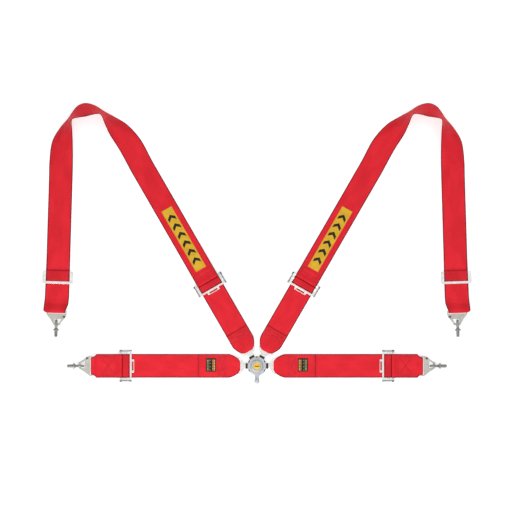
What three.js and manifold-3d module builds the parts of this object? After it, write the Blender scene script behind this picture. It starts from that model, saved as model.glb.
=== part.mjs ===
// A four-strap racing harness lying face up on a flat surface: a rotary buckle with a release lever,
// two lap straps and two shoulder straps of wide webbing, an adjuster on each strap, a three-bar slide
// on each shoulder tail, and a snap hook holding an eyebolt at every end.
//
// Millimetres, +Z up, the surface it lies on is z = 0, and the buckle's axis is the Z axis.
// Each strap leaves the buckle along its own port. In a strap's own frame +X runs outwards from the
// buckle, +Y across the webbing and +Z up, so most pieces are made once and used four times.

import * as THREE from "three";
import { mergeVertices } from "three/addons/utils/BufferGeometryUtils.js";
import Module from "manifold-3d";

const wasm = await Module();
wasm.setup();

// ---------------------------------------------------------------- driving dimensions

// Webbing
const WEB_WIDTH = 75;
const WEB_THICK = 1.5;
const PLY_GAP = 0.3; // between two plies sewn together
const RUN_GAP = 0.5; // between a ply and what slides over it

// Buckle
const BUCKLE_RADIUS = 30.5;
const BACK_PLATE_THICK = 4;
const CHAMBER_RADIUS = 24;
const CHAMBER_TOP = 15.5;
const HOUSING_TOP = 19;
const PORT_HALF_WIDTH = 10;
const PORT_TOP = 13;
const HUB_RADIUS = 18.5;
const HUB_HEIGHT = 6.2;
const BADGE_RADIUS = 11;
const BOLT_RADIUS = 4;
const LEVER_REACH = 48;
const KNOB_RADIUS = 8;
const LATCH_LIFT = 2.5; // how far the latch ring lifts meanwhile
const LATCH_AT = 18.5; // from the buckle's axis to each latch pin
const LATCH_PIN_RADIUS = 2.6;
const LATCH_RING_RADIUS = 21.8;
const CAM_SLEEVE_RADIUS = 7;
const NOTCH_START = 25.5; // where the notches between the ports begin
const NOTCH_HALF = 9.5; // half their width, 4 mm outside the housing
const SPRING_RADIUS = 12.1;
const SPRING_SPREAD = 2.4; // from the spiral's inner end to its outer end
const SPRING_TURNS = 1.5;
const SPRING_WIRE_RADIUS = 0.5;
const PORT_ANGLES = [0, 60, 120, 180, 240, 300];
const USED_PORTS = [0, 60, 120, 180];
const RELEASED_PORTS = [0, 60, 120];
const GUARD_REACH = 36; // how far the guards stand out from the buckle's axis
const GUARD_CLEAR = 0.5; // from a tongue to the guard round it
const GUARD_WALL = 1.3;
const GAP = 0.3; // between the buckle's pieces

// Tongue
const TONGUE_THICK = 3;
const TONGUE_FLOOR = 7;
const BLADE_HALF = 6.8;
const BLADE_START = 14;
const TONGUE_SLOT_IN = 50.5;
const TONGUE_SLOT_OUT = 57;
const TONGUE_END = 63;
const TONGUE_FOLD_AT = 55.5; // the middle of the webbing's fold through the slot
const EYE_END_HALF = 20; // half the width of the folded webbing end in the tongue's slot
const END_KNOTS = [[54, 18.5], [56, EYE_END_HALF], [66, 30.6], [75, 35.2], [87.5, WEB_WIDTH / 2]];

// Adjuster
const LAP_ADJUSTER = 401; // from the buckle's axis to the front bar
const SHOULDER_ADJUSTER = 282;
const CHEEK_THICK = 4;
const CHEEK_HEIGHT = 14;
const CHEEK_CLEAR = 8; // from the webbing's edge to the cheek
const FRONT_BAR_HALF = 3;
const FRONT_BAR_THICK = 4;
const TAB_REACH = 11;
const TAB_HALF = 21;
const TAB_SLOT = { from: -8.6, to: -3.9, half: 14.5 };
const BOSS_RADIUS = 3.6; // the riveted ends of both bars
const LOCK_BAR_AT = 17;
const LOCK_BAR_HALF = 5;
const LOCK_BAR_THICK = 5;
const LOCK_TRAVEL = 1.5;
const LOCK_CLEAR = 0.5;
const REAR_BAR_AT = 31.5;
const REAR_BAR_RADIUS = 3;
const RUN_PAST_BAR = 26; // how far the run reaches beyond the rear bar before it turns back

// Straps
const LAP_SEAM = 187;
const SHOULDER_SEAM = 129;
const LAP_TAIL_LENGTH = 190;
const SHOULDER_TAIL_LENGTH = 170;
const LAP_HOOK = 522.5; // from the buckle's axis to the bar that the hook hangs on
const LAP_DOUBLED = 58; // how far past the rear bar the lap end's plies lie flat
const SHOULDER_ANGLE = 60; // from the right lap strap to the right shoulder strap
const SHOULDER_DOUBLED = 81.5; // how far past the rear bar the shoulder strap is doubled
const SHOULDER_DESCENT = 45; // the stretch in which it comes down to the surface after that
const SHOULDER_FLAT_END = 650; // from the buckle's axis to where it is still flat
const TURN_START = 730; // and to where it begins to turn

// Snap hook and eyebolt
const HOOK_THICK = 3.5;
const HOOK_HALF_WIDTH = 32;
const HOOK_END_HALF = 27; // half the width of the webbing end in the hook's slot
const HOOK_BAR_HALF = 3;
const HOOK_SLOT_END = 7;
const HOOK_HOLE_START = 24;
const HOOK_HOLE_END = 36;
const HOOK_TIP = 44;
const GATE_PIVOT = [16.5, 24];
const GATE_TIP = [37.5, 11];
const GATE_PIVOT_RADIUS = 4.6;
const GATE_TIP_RADIUS = 2.5;
const RIVET_HOLE = 2.4;
const RIVET_HEAD = 3.8;
const GATE_THICK = 2;
const RING_RADIUS = 11; // to the middle of its section
const RING_SECTION = 4;
const SHANK_RADIUS = 5.55; // a 7/16 inch shank
const COLLAR_RADIUS = 10;
const COLLAR_FACE = 60.5; // from the hook's bar to the face that seats on the car
const SHANK_TIP = 80.5;

// Shoulder tail
const TAIL_TOP = new THREE.Vector2(623.5, 599);
const TAIL_HOOK = new THREE.Vector2(636, 173);
const SLIDE_FROM_HOOK = 108;
const SLIDE_LENGTH = 40;
const SLIDE_SIDE = 5.5;
const SLIDE_THICK = 3;
const SLIDE_CORNER = 4;
const SLIDE_MIDDLE_BAR = 6;
const SLIDE_END_BAR = 8;
const SLIDE_CLEAR = 5.8; // from the webbing to the slide's side bars
const SLIDE_REACH = 160; // how far above the slide the tail lies on its own returning ply
const TAIL_RETURN = 75; // how far above the slide that ply ends
const TAIL_OUTER = [
  [-110, WEB_WIDTH / 2],
  [-40, WEB_WIDTH / 2 + 2],
  [-7, WEB_WIDTH / 2 + 3.5],
  [-1, HOOK_END_HALF],
];
const TAIL_INNER = [
  [-45, WEB_WIDTH / 2],
  [-25, WEB_WIDTH / 2 - 1.5],
  [-8, HOOK_END_HALF + 3],
  [-1, HOOK_END_HALF],
];

// The right shoulder strap turns back on itself: [x, y, direction across the webbing, lean], both in
// degrees. Its outer edge stays down and its inner edge stands up on the way round.
const TURN = [
  [404, 704, -30, 8],
  [441, 752, -34, 35],
  [466, 779, -38, 60],
  [490, 803, -52, 78],
  [518, 812, -84, 64],
  [544, 813, -100, 53],
  [563, 807, -114, 57],
  [580, 794, -138, 70],
  [591, 785, -150, 77],
  [606, 749, -169, 53],
  [617, 711, -174, 27],
  [622, 652, -177, 5],
];
const TURN_STEPS = 6;

// Labels
const LABEL_THICK = 0.8;
const SHOULDER_LABEL = { from: 355, to: 576, half: 18.5 };
const LAP_LABEL = { from: 130, to: 162, low: -18, high: 24 };

// ---------------------------------------------------------------- heights of the stacked plies

const TAIL_MID = WEB_THICK / 2;
const RUN_MID = TAIL_MID + WEB_THICK + RUN_GAP;
const RUN_TOP = RUN_MID + WEB_THICK / 2;
const SEWN_MID = RUN_MID + WEB_THICK + PLY_GAP;
const OVER_MID = RUN_MID + WEB_THICK + RUN_GAP;
const OVER_TOP_MID = OVER_MID + WEB_THICK + PLY_GAP;
const TONGUE_MID = TONGUE_FLOOR + TONGUE_THICK / 2;
const REAR_LOOP = REAR_BAR_RADIUS + 0.4 + WEB_THICK / 2;
const REAR_BAR_Z = OVER_MID + REAR_LOOP;
const HOOK_LOOP = Math.hypot(HOOK_BAR_HALF, HOOK_THICK / 2) + 0.5 + WEB_THICK / 2;
const RING_MID = RING_RADIUS + RING_SECTION;
const HOOK_MID = RING_MID - 1.8;
const CHEEK_INNER = WEB_WIDTH / 2 + CHEEK_CLEAR;
const CHEEK_OUTER = CHEEK_INNER + CHEEK_THICK;
const BAR_LOW = RUN_TOP + RUN_GAP;
const LOCK_BAR_LOW = BAR_LOW + 1.6;
const SPRING_GROOVE = { inner: SPRING_RADIUS - 2.5, outer: SPRING_RADIUS + 2.5, floor: HOUSING_TOP - 2.8 };
const RING_AT = (HOOK_HOLE_END + HOOK_TIP) / 2;

const radians = THREE.MathUtils.degToRad;

// ---------------------------------------------------------------- finishes

const finish = (colour, roughness, metalness) => ({ color: colour, roughness, metalness });
const RED_WEBBING = finish(0xd92b38, 0.85, 0);
const DULL_WEBBING = finish(0xc62a37, 0.88, 0);
const SILVER = finish(0xc9cccd, 0.32, 0.9);
const STEEL = finish(0xaab0ae, 0.35, 0.95);
const ZINC = finish(0xbfc4bd, 0.45, 0.85);
const DARK_STEEL = finish(0x5a5d5c, 0.45, 0.9);
const BLACK_PLASTIC = finish(0x17181a, 0.55, 0);
const YELLOW = finish(0xe6b629, 0.6, 0);
const BLACK_CLOTH = finish(0x1d1c1b, 0.8, 0);

// ---------------------------------------------------------------- solids

function solidOf(geometry) {
  const bare = new THREE.BufferGeometry();
  bare.setAttribute("position", geometry.getAttribute("position").clone());
  if (geometry.index) {
    bare.setIndex(geometry.index.clone());
  }
  const merged = mergeVertices(bare, 1e-4);
  return new wasm.Manifold(new wasm.Mesh({
    numProp: 3,
    vertProperties: new Float32Array(merged.getAttribute("position").array),
    triVerts: new Uint32Array(merged.index.array),
  }));
}

function geometryOf(solid) {
  const mesh = solid.getMesh();
  const geometry = new THREE.BufferGeometry();
  geometry.setAttribute("position", new THREE.BufferAttribute(mesh.vertProperties, 3));
  geometry.setIndex(new THREE.BufferAttribute(mesh.triVerts, 1));
  return geometry;
}

function join(...pieces) {
  return geometryOf(pieces.map(solidOf).reduce((whole, piece) => whole.add(piece)));
}

function cut(base, ...tools) {
  return geometryOf(tools.map(solidOf).reduce((whole, tool) => whole.subtract(tool), solidOf(base)));
}

// An outline's points, always anticlockwise
function loop(points) {
  const corners = points.map(([x, y]) => new THREE.Vector2(x, y));
  return THREE.ShapeUtils.isClockWise(corners) ? corners.reverse() : corners;
}

// A plate of an XY outline between two heights
function plate(points, low, high, holes = []) {
  const shape = new THREE.Shape(loop(points));
  shape.holes = holes.map((hole) => new THREE.Path(loop(hole)));
  const geometry = new THREE.ExtrudeGeometry(shape, { depth: high - low, bevelEnabled: false });
  return geometry.translate(0, 0, low);
}

// A bar of an XZ outline between two places across the strap
function barAcross(points, from, to, holes = []) {
  const geometry = plate(points, -to, -from, holes);
  return geometry.rotateX(Math.PI / 2);
}

function box(x0, x1, y0, y1, z0, z1) {
  const geometry = new THREE.BoxGeometry(x1 - x0, y1 - y0, z1 - z0);
  return geometry.translate((x0 + x1) / 2, (y0 + y1) / 2, (z0 + z1) / 2);
}

// Round about Z: a profile of [radius, height] pairs that starts and ends on the axis or closes
function turned(profile, segments = 36) {
  return new THREE.LatheGeometry(profile.map(([r, z]) => new THREE.Vector2(r, z)), segments)
    .rotateX(Math.PI / 2);
}

function drum(radius, low, high, segments = 36) {
  return turned([[0, low], [radius, low], [radius, high], [0, high]], segments);
}

function rodAcross(radius, x, z, from, to, segments = 16) {
  return drum(radius, from, to, segments).rotateX(-Math.PI / 2).translate(x, 0, z);
}

function arc(x, y, radius, from, to, steps) {
  const points = [];
  for (let i = 0; i <= steps; i += 1) {
    const angle = radians(from + ((to - from) * i) / steps);
    points.push([x + radius * Math.cos(angle), y + radius * Math.sin(angle)]);
  }
  return points;
}

function circle(x, y, radius, steps = 20) {
  return arc(x, y, radius, 0, 360, steps).slice(0, -1);
}

// ---------------------------------------------------------------- webbing

// A ribbon swept through cross-sections, each a pair of edge points. Its thickness stands on both
// sides of the surface through the edges.
function ribbon(sections, thick) {
  const positions = [];
  const middle = sections.map(([a, b]) => a.clone().add(b).multiplyScalar(0.5));
  sections.forEach(([a, b], i) => {
    const before = middle[Math.max(i - 1, 0)];
    const after = middle[Math.min(i + 1, middle.length - 1)];
    const along = after.clone().sub(before).normalize();
    const normal = b.clone().sub(a).cross(along).normalize().multiplyScalar(thick / 2);
    for (const corner of [
      a.clone().add(normal),
      b.clone().add(normal),
      b.clone().sub(normal),
      a.clone().sub(normal),
    ]) {
      positions.push(corner.x, corner.y, corner.z);
    }
  });
  const faces = [[0, 1, 2], [0, 2, 3]];
  for (let i = 0; i + 1 < sections.length; i += 1) {
    for (let k = 0; k < 4; k += 1) {
      const p = 4 * i + k;
      const q = 4 * i + ((k + 1) % 4);
      // The two broad faces are split along the same diagonal, so that a twisted ply keeps its thickness
      if (k === 2) {
        faces.push([p, p + 4, q], [q, p + 4, q + 4]);
      } else {
        faces.push([p, p + 4, q + 4], [p, q + 4, q]);
      }
    }
  }
  const last = 4 * (sections.length - 1);
  faces.push([last, last + 2, last + 1], [last, last + 3, last + 2]);
  const geometry = new THREE.BufferGeometry();
  geometry.setAttribute("position", new THREE.BufferAttribute(new Float32Array(positions), 3));
  geometry.setIndex(faces.flat());
  return volumeOf(geometry) < 0 ? turnedInsideOut(geometry) : geometry;
}

function volumeOf(geometry) {
  const position = geometry.getAttribute("position");
  const corner = [new THREE.Vector3(), new THREE.Vector3(), new THREE.Vector3()];
  let volume = 0;
  for (let i = 0; i < geometry.index.count; i += 3) {
    corner.forEach((point, k) => point.fromBufferAttribute(position, geometry.index.getX(i + k)));
    volume += corner[0].dot(corner[1].clone().cross(corner[2])) / 6;
  }
  return volume;
}

function turnedInsideOut(geometry) {
  const index = geometry.index;
  for (let i = 0; i < index.count; i += 3) {
    const second = index.getX(i + 1);
    index.setX(i + 1, index.getX(i + 2));
    index.setX(i + 2, second);
  }
  return geometry;
}

// Sections of a strap that runs straight in plan: points of [distance, height], and a function that
// gives the two half-widths, towards +Y and towards -Y, at each distance
function straightSections(path, halves) {
  return path.map(([x, z]) => {
    const [left, right] = halves(x);
    return [new THREE.Vector3(x, left, z), new THREE.Vector3(x, -right, z)];
  });
}

// Straight stretches between [distance, value] knots
function between(knots, x) {
  const after = knots.findIndex(([at]) => at >= x);
  if (after < 0) {
    return knots[knots.length - 1][1];
  }
  if (after === 0) {
    return knots[0][1];
  }
  const [x0, v0] = knots[after - 1];
  const [x1, v1] = knots[after];
  return v0 + ((v1 - v0) * (x - x0)) / (x1 - x0);
}

// Both edges of a strap whose half-width follows knots
function evenHalves(knots) {
  return (x) => [between(knots, x), between(knots, x)];
}

// Half the distance between the middles of two plies that lie on both sides of something
function wrapRadius(thick) {
  return (thick + WEB_THICK + 1) / 2;
}

// From a sewn end, over the tongue's strip, round it, out to the adjuster and back beneath as a tail.
// The webbing's end is rounded off towards the tongue.
function innerStrap(seam, adjuster, tailLength) {
  const turn = adjuster + REAR_BAR_AT + RUN_PAST_BAR;
  const bend = wrapRadius(TONGUE_THICK);
  const foldRadius = (RUN_MID - TAIL_MID) / 2;
  const above = [[66, TONGUE_MID + bend], [87.5, SEWN_MID + 1.7]];
  const below = [[66, TONGUE_MID - bend], [87.5, RUN_MID + 0.8]];
  const path = [
    [seam, SEWN_MID],
    [95, SEWN_MID],
    above[1],
    [75, between(above, 75)],
    above[0],
    ...arc(TONGUE_FOLD_AT, TONGUE_MID, bend, 90, 270, 8),
    below[0],
    [75, between(below, 75)],
    below[1],
    [95, RUN_MID],
    ...arc(turn - foldRadius, (RUN_MID + TAIL_MID) / 2, foldRadius, 90, -90, 6),
    [turn - tailLength, TAIL_MID],
  ];
  return ribbon(straightSections(path, evenHalves(END_KNOTS)), WEB_THICK);
}

// Round the adjuster's rear bar, coming in on the lower ply and leaving on the upper one
function rearBarLoop(adjuster) {
  return arc(adjuster + REAR_BAR_AT, REAR_BAR_Z, REAR_LOOP, 270, 90, 10);
}

// Round the snap hook's bar at a distance, from the upper ply to the lower one
function hookLoop(at) {
  return arc(at, HOOK_MID, HOOK_LOOP, 90, -90, 8);
}

// The short doubled strap between a lap adjuster and its snap hook
function lapOuterStrap() {
  const rear = LAP_ADJUSTER + REAR_BAR_AT;
  const path = [
    [rear + 14.5, OVER_MID],
    [rear + LAP_DOUBLED, OVER_MID],
    [LAP_HOOK - 14, OVER_MID + 0.6],
    [LAP_HOOK - 5, HOOK_MID - HOOK_LOOP - 0.6],
    ...hookLoop(LAP_HOOK).reverse(),
    [LAP_HOOK - 5, HOOK_MID + HOOK_LOOP - 1.2],
    [LAP_HOOK - 14, OVER_TOP_MID + 4.2],
    [rear + LAP_DOUBLED, OVER_TOP_MID],
    [rear + 16, OVER_TOP_MID],
    ...rearBarLoop(LAP_ADJUSTER).reverse(),
    [rear + 13, OVER_MID],
  ];
  const knots = [
    [LAP_HOOK - 10.5, WEB_WIDTH / 2 - 1],
    [LAP_HOOK, HOOK_END_HALF],
  ];
  return ribbon(straightSections(path, evenHalves(knots)), WEB_THICK);
}

// A band of webbing over a bar or bars, down to the run on both sides
function bight(from, to, top, half) {
  const corner = 2.2;
  const path = [
    [from, BAR_LOW],
    ...arc(from + corner, top - corner, corner, 180, 90, 4),
    ...arc(to - corner, top - corner, corner, 90, 0, 4),
    [to, BAR_LOW],
  ];
  return ribbon(straightSections(path, () => [half, half]), WEB_THICK);
}

// ---------------------------------------------------------------- the long shoulder strap

function shoulderPoint(r) {
  return [r * Math.cos(radians(SHOULDER_ANGLE)), r * Math.sin(radians(SHOULDER_ANGLE))];
}

// The two edges of a strap whose lower edge rests on the surface
function edgesAt(x, y, acrossAngle, lean) {
  const across = new THREE.Vector3(
    Math.cos(radians(acrossAngle)) * Math.cos(radians(lean)),
    Math.sin(radians(acrossAngle)) * Math.cos(radians(lean)),
    Math.sin(radians(lean)),
  ).multiplyScalar(WEB_WIDTH / 2);
  const middle = new THREE.Vector3(x, y, across.z + (WEB_THICK / 2) * Math.cos(radians(lean)));
  return [middle.clone().sub(across), middle.clone().add(across)];
}

function smoothed(sections, steps) {
  const sides = [0, 1].map((k) => new THREE.CatmullRomCurve3(sections.map((pair) => pair[k])));
  const count = (sections.length - 1) * steps;
  return Array.from({ length: count + 1 }, (_, i) => sides.map((side) => side.getPoint(i / count)));
}

const tailLine = TAIL_HOOK.clone().sub(TAIL_TOP);
const TAIL_LENGTH = tailLine.length();
const TAIL_HEADING = THREE.MathUtils.radToDeg(tailLine.angle());

// A point of the tail, measured down from the hook's bar (negative is up the strap)
function tailSection(distance, z, outer, inner) {
  const along = tailLine.clone().normalize();
  const centre = TAIL_HOOK.clone().addScaledVector(along, distance);
  const side = new THREE.Vector2(-along.y, along.x);
  const edge = (reach) => {
    const at = centre.clone().addScaledVector(side, reach);
    return new THREE.Vector3(at.x, at.y, z);
  };
  return [edge(outer), edge(-inner)];
}

function shoulderUpperStrap() {
  const rear = SHOULDER_ADJUSTER + REAR_BAR_AT;
  const across = SHOULDER_ANGLE - 90;
  const onDiagonal = ([r, z]) => {
    const [x, y] = shoulderPoint(r);
    const pair = edgesAt(x, y, across, 0);
    pair.forEach((point) => point.setZ(z));
    return pair;
  };
  const start = [
    [rear + SHOULDER_DOUBLED - 1.5, OVER_MID],
    [rear + 14.5, OVER_MID],
    ...rearBarLoop(SHOULDER_ADJUSTER),
    [rear + 16, OVER_TOP_MID],
    [rear + SHOULDER_DOUBLED, OVER_TOP_MID],
    [rear + SHOULDER_DOUBLED + SHOULDER_DESCENT, TAIL_MID],
    [SHOULDER_FLAT_END, TAIL_MID],
  ].map(onDiagonal);
  const [x, y] = shoulderPoint(TURN_START);
  const turn = smoothed([
    edgesAt(x, y, across, 0),
    ...TURN.map((station) => edgesAt(...station)),
    tailSection(-TAIL_LENGTH, TAIL_MID, WEB_WIDTH / 2, WEB_WIDTH / 2),
  ], TURN_STEPS);
  const tail = [
    [-TAIL_LENGTH + 70, TAIL_MID],
    [-SLIDE_FROM_HOOK - SLIDE_REACH, RUN_MID],
    [-110, RUN_MID],
    [-40, RUN_MID],
    [-25, RUN_MID + 2.6],
    [-8, HOOK_MID + HOOK_LOOP - 2.2],
    ...hookLoop(0),
    [-8, HOOK_MID - HOOK_LOOP - 1.6],
    [-25, TAIL_MID],
    [-45, TAIL_MID],
    [-SLIDE_FROM_HOOK - TAIL_RETURN, TAIL_MID],
  ].map(([at, z]) => tailSection(at, z, between(TAIL_OUTER, at), between(TAIL_INNER, at)));
  return ribbon([...start, ...turn, ...tail], WEB_THICK);
}

function shoulderLabel() {
  const rear = SHOULDER_ADJUSTER + REAR_BAR_AT;
  const rise = WEB_THICK / 2 + PLY_GAP + LABEL_THICK / 2;
  const path = [
    [SHOULDER_LABEL.from, OVER_TOP_MID + rise],
    [rear + SHOULDER_DOUBLED, OVER_TOP_MID + rise],
    [rear + SHOULDER_DOUBLED + SHOULDER_DESCENT, TAIL_MID + rise],
    [SHOULDER_LABEL.to, TAIL_MID + rise],
  ];
  return ribbon(straightSections(path, () => [SHOULDER_LABEL.half, SHOULDER_LABEL.half]), LABEL_THICK);
}

function lapLabel(hand) {
  const z = SEWN_MID + WEB_THICK / 2 + PLY_GAP;
  const ends = [LAP_LABEL.low * hand, LAP_LABEL.high * hand].sort((a, b) => a - b);
  return box(LAP_LABEL.from, LAP_LABEL.to, ends[0], ends[1], z, z + LABEL_THICK);
}

// ---------------------------------------------------------------- buckle

function radial(geometry, angle) {
  return geometry.rotateZ(radians(angle));
}

function backPlate() {
  const disc = turned([
    [0, 0],
    [BUCKLE_RADIUS - 1.5, 0],
    [BUCKLE_RADIUS - 0.5, 1],
    [BUCKLE_RADIUS - 0.5, BACK_PLATE_THICK],
    [0, BACK_PLATE_THICK],
  ], 48);
  return cut(disc, drum(BOLT_RADIUS + GAP, 1, BACK_PLATE_THICK + 1, 24));
}

function housing() {
  const low = BACK_PLATE_THICK + GAP;
  const shell = turned([
    [0, low],
    [BUCKLE_RADIUS, low],
    [BUCKLE_RADIUS, HOUSING_TOP - 3.5],
    [BUCKLE_RADIUS - 3, HOUSING_TOP - 0.8],
    [HUB_RADIUS + 2, HOUSING_TOP],
    [0, HOUSING_TOP],
  ], 48);
  const ports = PORT_ANGLES.map((angle) => radial(
    box(CHAMBER_RADIUS - 3, BUCKLE_RADIUS + 5, -PORT_HALF_WIDTH, PORT_HALF_WIDTH, low - 1, PORT_TOP),
    angle,
  ));
  const notches = PORT_ANGLES.map((angle) => radial(
    plate(
      [[NOTCH_START, 0], [BUCKLE_RADIUS + 4, -NOTCH_HALF], [BUCKLE_RADIUS + 4, NOTCH_HALF]],
      PORT_TOP - 5,
      HOUSING_TOP + 1,
    ),
    angle + 30,
  ));
  const chamber = drum(CHAMBER_RADIUS, low - 1, CHAMBER_TOP, 36);
  const bore = drum(CAM_SLEEVE_RADIUS + GAP, low, HOUSING_TOP + 1, 28);
  const groove = turned([
    [SPRING_GROOVE.inner, SPRING_GROOVE.floor],
    [SPRING_GROOVE.outer, SPRING_GROOVE.floor],
    [SPRING_GROOVE.outer, HOUSING_TOP + 1],
    [SPRING_GROOVE.inner, HOUSING_TOP + 1],
    [SPRING_GROOVE.inner, SPRING_GROOVE.floor],
  ], 32);
  return cut(shell, chamber, bore, groove, ...ports, ...notches);
}

// One moulded liner under the tongues, with a guard round each tongue in use
function portLiner() {
  const floorTop = TONGUE_FLOOR - GAP;
  const low = BACK_PLATE_THICK + GAP;
  const disc = turned([
    [BOLT_RADIUS + 2, low],
    [CHAMBER_RADIUS - 0.5, low],
    [CHAMBER_RADIUS - 0.5, floorTop],
    [BOLT_RADIUS + 2, floorTop],
    [BOLT_RADIUS + 2, low],
  ], 36);
  const top = TONGUE_FLOOR + TONGUE_THICK + 0.4;
  const guards = USED_PORTS.map((angle) => {
    const inner = BLADE_HALF + GUARD_CLEAR;
    const outer = inner + GUARD_WALL;
    const sleeve = box(CHAMBER_RADIUS - 1.4, GUARD_REACH, -outer, outer, low, top + 1.6);
    const way = box(CHAMBER_RADIUS - 5, GUARD_REACH + 1, -inner, inner, floorTop, top);
    return radial(cut(sleeve, way), angle);
  });
  return join(disc, ...guards);
}

function latchRing() {
  const low = TONGUE_FLOOR + TONGUE_THICK + GAP;
  const high = CHAMBER_TOP - GAP - LATCH_LIFT;
  const inner = CAM_SLEEVE_RADIUS + 2;
  const ring = turned([
    [inner, high - 1.4],
    [LATCH_RING_RADIUS, high - 1.4],
    [LATCH_RING_RADIUS, high],
    [inner, high],
    [inner, high - 1.4],
  ], 36);
  const pins = RELEASED_PORTS.map((angle) => (
    radial(drum(LATCH_PIN_RADIUS, low, high - 0.5, 16).translate(LATCH_AT, 0, 0), angle)
  ));
  const pinClear = LATCH_PIN_RADIUS + 1.2;
  return cut(join(ring, ...pins), box(-LATCH_RING_RADIUS - 1, -inner, -pinClear, pinClear, low, high + 1));
}

function camSleeve() {
  const low = TONGUE_FLOOR + TONGUE_THICK + 1.2;
  return turned([
    [BOLT_RADIUS + GAP, low],
    [CAM_SLEEVE_RADIUS, low],
    [CAM_SLEEVE_RADIUS, HOUSING_TOP],
    [BOLT_RADIUS + GAP, HOUSING_TOP],
    [BOLT_RADIUS + GAP, low],
  ], 28);
}

function pivotBolt() {
  const head = HOUSING_TOP + GAP + 2.9;
  return turned([
    [0, 1 + GAP],
    [BOLT_RADIUS, 1 + GAP],
    [BOLT_RADIUS, head],
    [6, head],
    [6, head + 1.4],
    [0, head + 1.4],
  ], 24);
}

function returnSpring() {
  const steps = 36;
  const points = Array.from({ length: steps + 1 }, (_, i) => {
    const angle = (i / steps) * SPRING_TURNS * 2 * Math.PI;
    const radius = SPRING_RADIUS + SPRING_SPREAD * (i / steps - 0.5);
    return new THREE.Vector3(radius * Math.cos(angle), radius * Math.sin(angle), SPRING_GROOVE.floor + 1.2);
  });
  const wire = new THREE.Shape(loop(circle(0, 0, SPRING_WIRE_RADIUS, 6)));
  const curve = new THREE.CatmullRomCurve3(points);
  return new THREE.ExtrudeGeometry(wire, { steps, extrudePath: curve, bevelEnabled: false });
}

function releaseLever() {
  const low = HOUSING_TOP + GAP;
  const high = low + HUB_HEIGHT;
  const hub = turned([
    [0, low],
    [HUB_RADIUS - 0.6, low],
    [HUB_RADIUS, low + 0.6],
    [HUB_RADIUS, high - 1.4],
    [HUB_RADIUS - 1.4, high],
    [0, high],
  ], 40);
  const arm = plate([
    [-10.5, -12],
    [-6.5, -34],
    [-6.5, -LEVER_REACH],
    [6.5, -LEVER_REACH],
    [6.5, -34],
    [10.5, -12],
  ], low, high - 1.2);
  const knob = turned([
    [0, low],
    [KNOB_RADIUS - 1, low],
    [KNOB_RADIUS, low + 1],
    [KNOB_RADIUS, high - 0.6],
    [KNOB_RADIUS - 2, high + 1],
    [0, high + 1.6],
  ], 24).translate(0, -LEVER_REACH, 0);
  return cut(
    join(hub, arm, knob),
    drum(BADGE_RADIUS + GAP, high - 1.5, high + 1, 36),
    drum(6 + GAP, low + 2.6, high, 24),
    drum(BOLT_RADIUS + GAP, low - 1, high, 24),
  );
}

function leverBadge() {
  const low = HOUSING_TOP + GAP + HUB_HEIGHT - 1.2;
  return turned([
    [0, low],
    [BADGE_RADIUS, low],
    [BADGE_RADIUS, low + 1.2],
    [BADGE_RADIUS - 2, low + 1.6],
    [0, low + 1.9],
  ], 36);
}

// The pin that keeps the left lap tongue in the buckle for good
function captivePin() {
  return drum(LATCH_PIN_RADIUS, TONGUE_FLOOR, CHAMBER_TOP - GAP, 16).translate(-LATCH_AT, 0, 0);
}

// ---------------------------------------------------------------- tongue, adjuster, slide

function tongue() {
  const wide = EYE_END_HALF + 6.5;
  const outline = [
    [BLADE_START, 2 - BLADE_HALF],
    [BLADE_START + 2, -BLADE_HALF],
    [36, -BLADE_HALF],
    [39, -8.5],
    [44, -13],
    [50, -wide + 3],
    [54, -wide],
    [TONGUE_END - 3, -wide],
    [TONGUE_END, -wide + 3],
    [TONGUE_END, wide - 3],
    [TONGUE_END - 3, wide],
    [54, wide],
    [50, wide - 3],
    [44, 13],
    [39, 8.5],
    [36, BLADE_HALF],
    [BLADE_START + 2, BLADE_HALF],
    [BLADE_START, BLADE_HALF - 2],
  ];
  const slotHalf = EYE_END_HALF + 2;
  const slot = [
    [TONGUE_SLOT_IN, -slotHalf + 2],
    [TONGUE_SLOT_OUT, -slotHalf],
    [TONGUE_SLOT_OUT, slotHalf],
    [TONGUE_SLOT_IN, slotHalf - 2],
  ];
  return plate(outline, TONGUE_FLOOR, TONGUE_FLOOR + TONGUE_THICK, [
    slot,
    circle(LATCH_AT, 0, LATCH_PIN_RADIUS + 0.6),
  ]);
}

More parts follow.
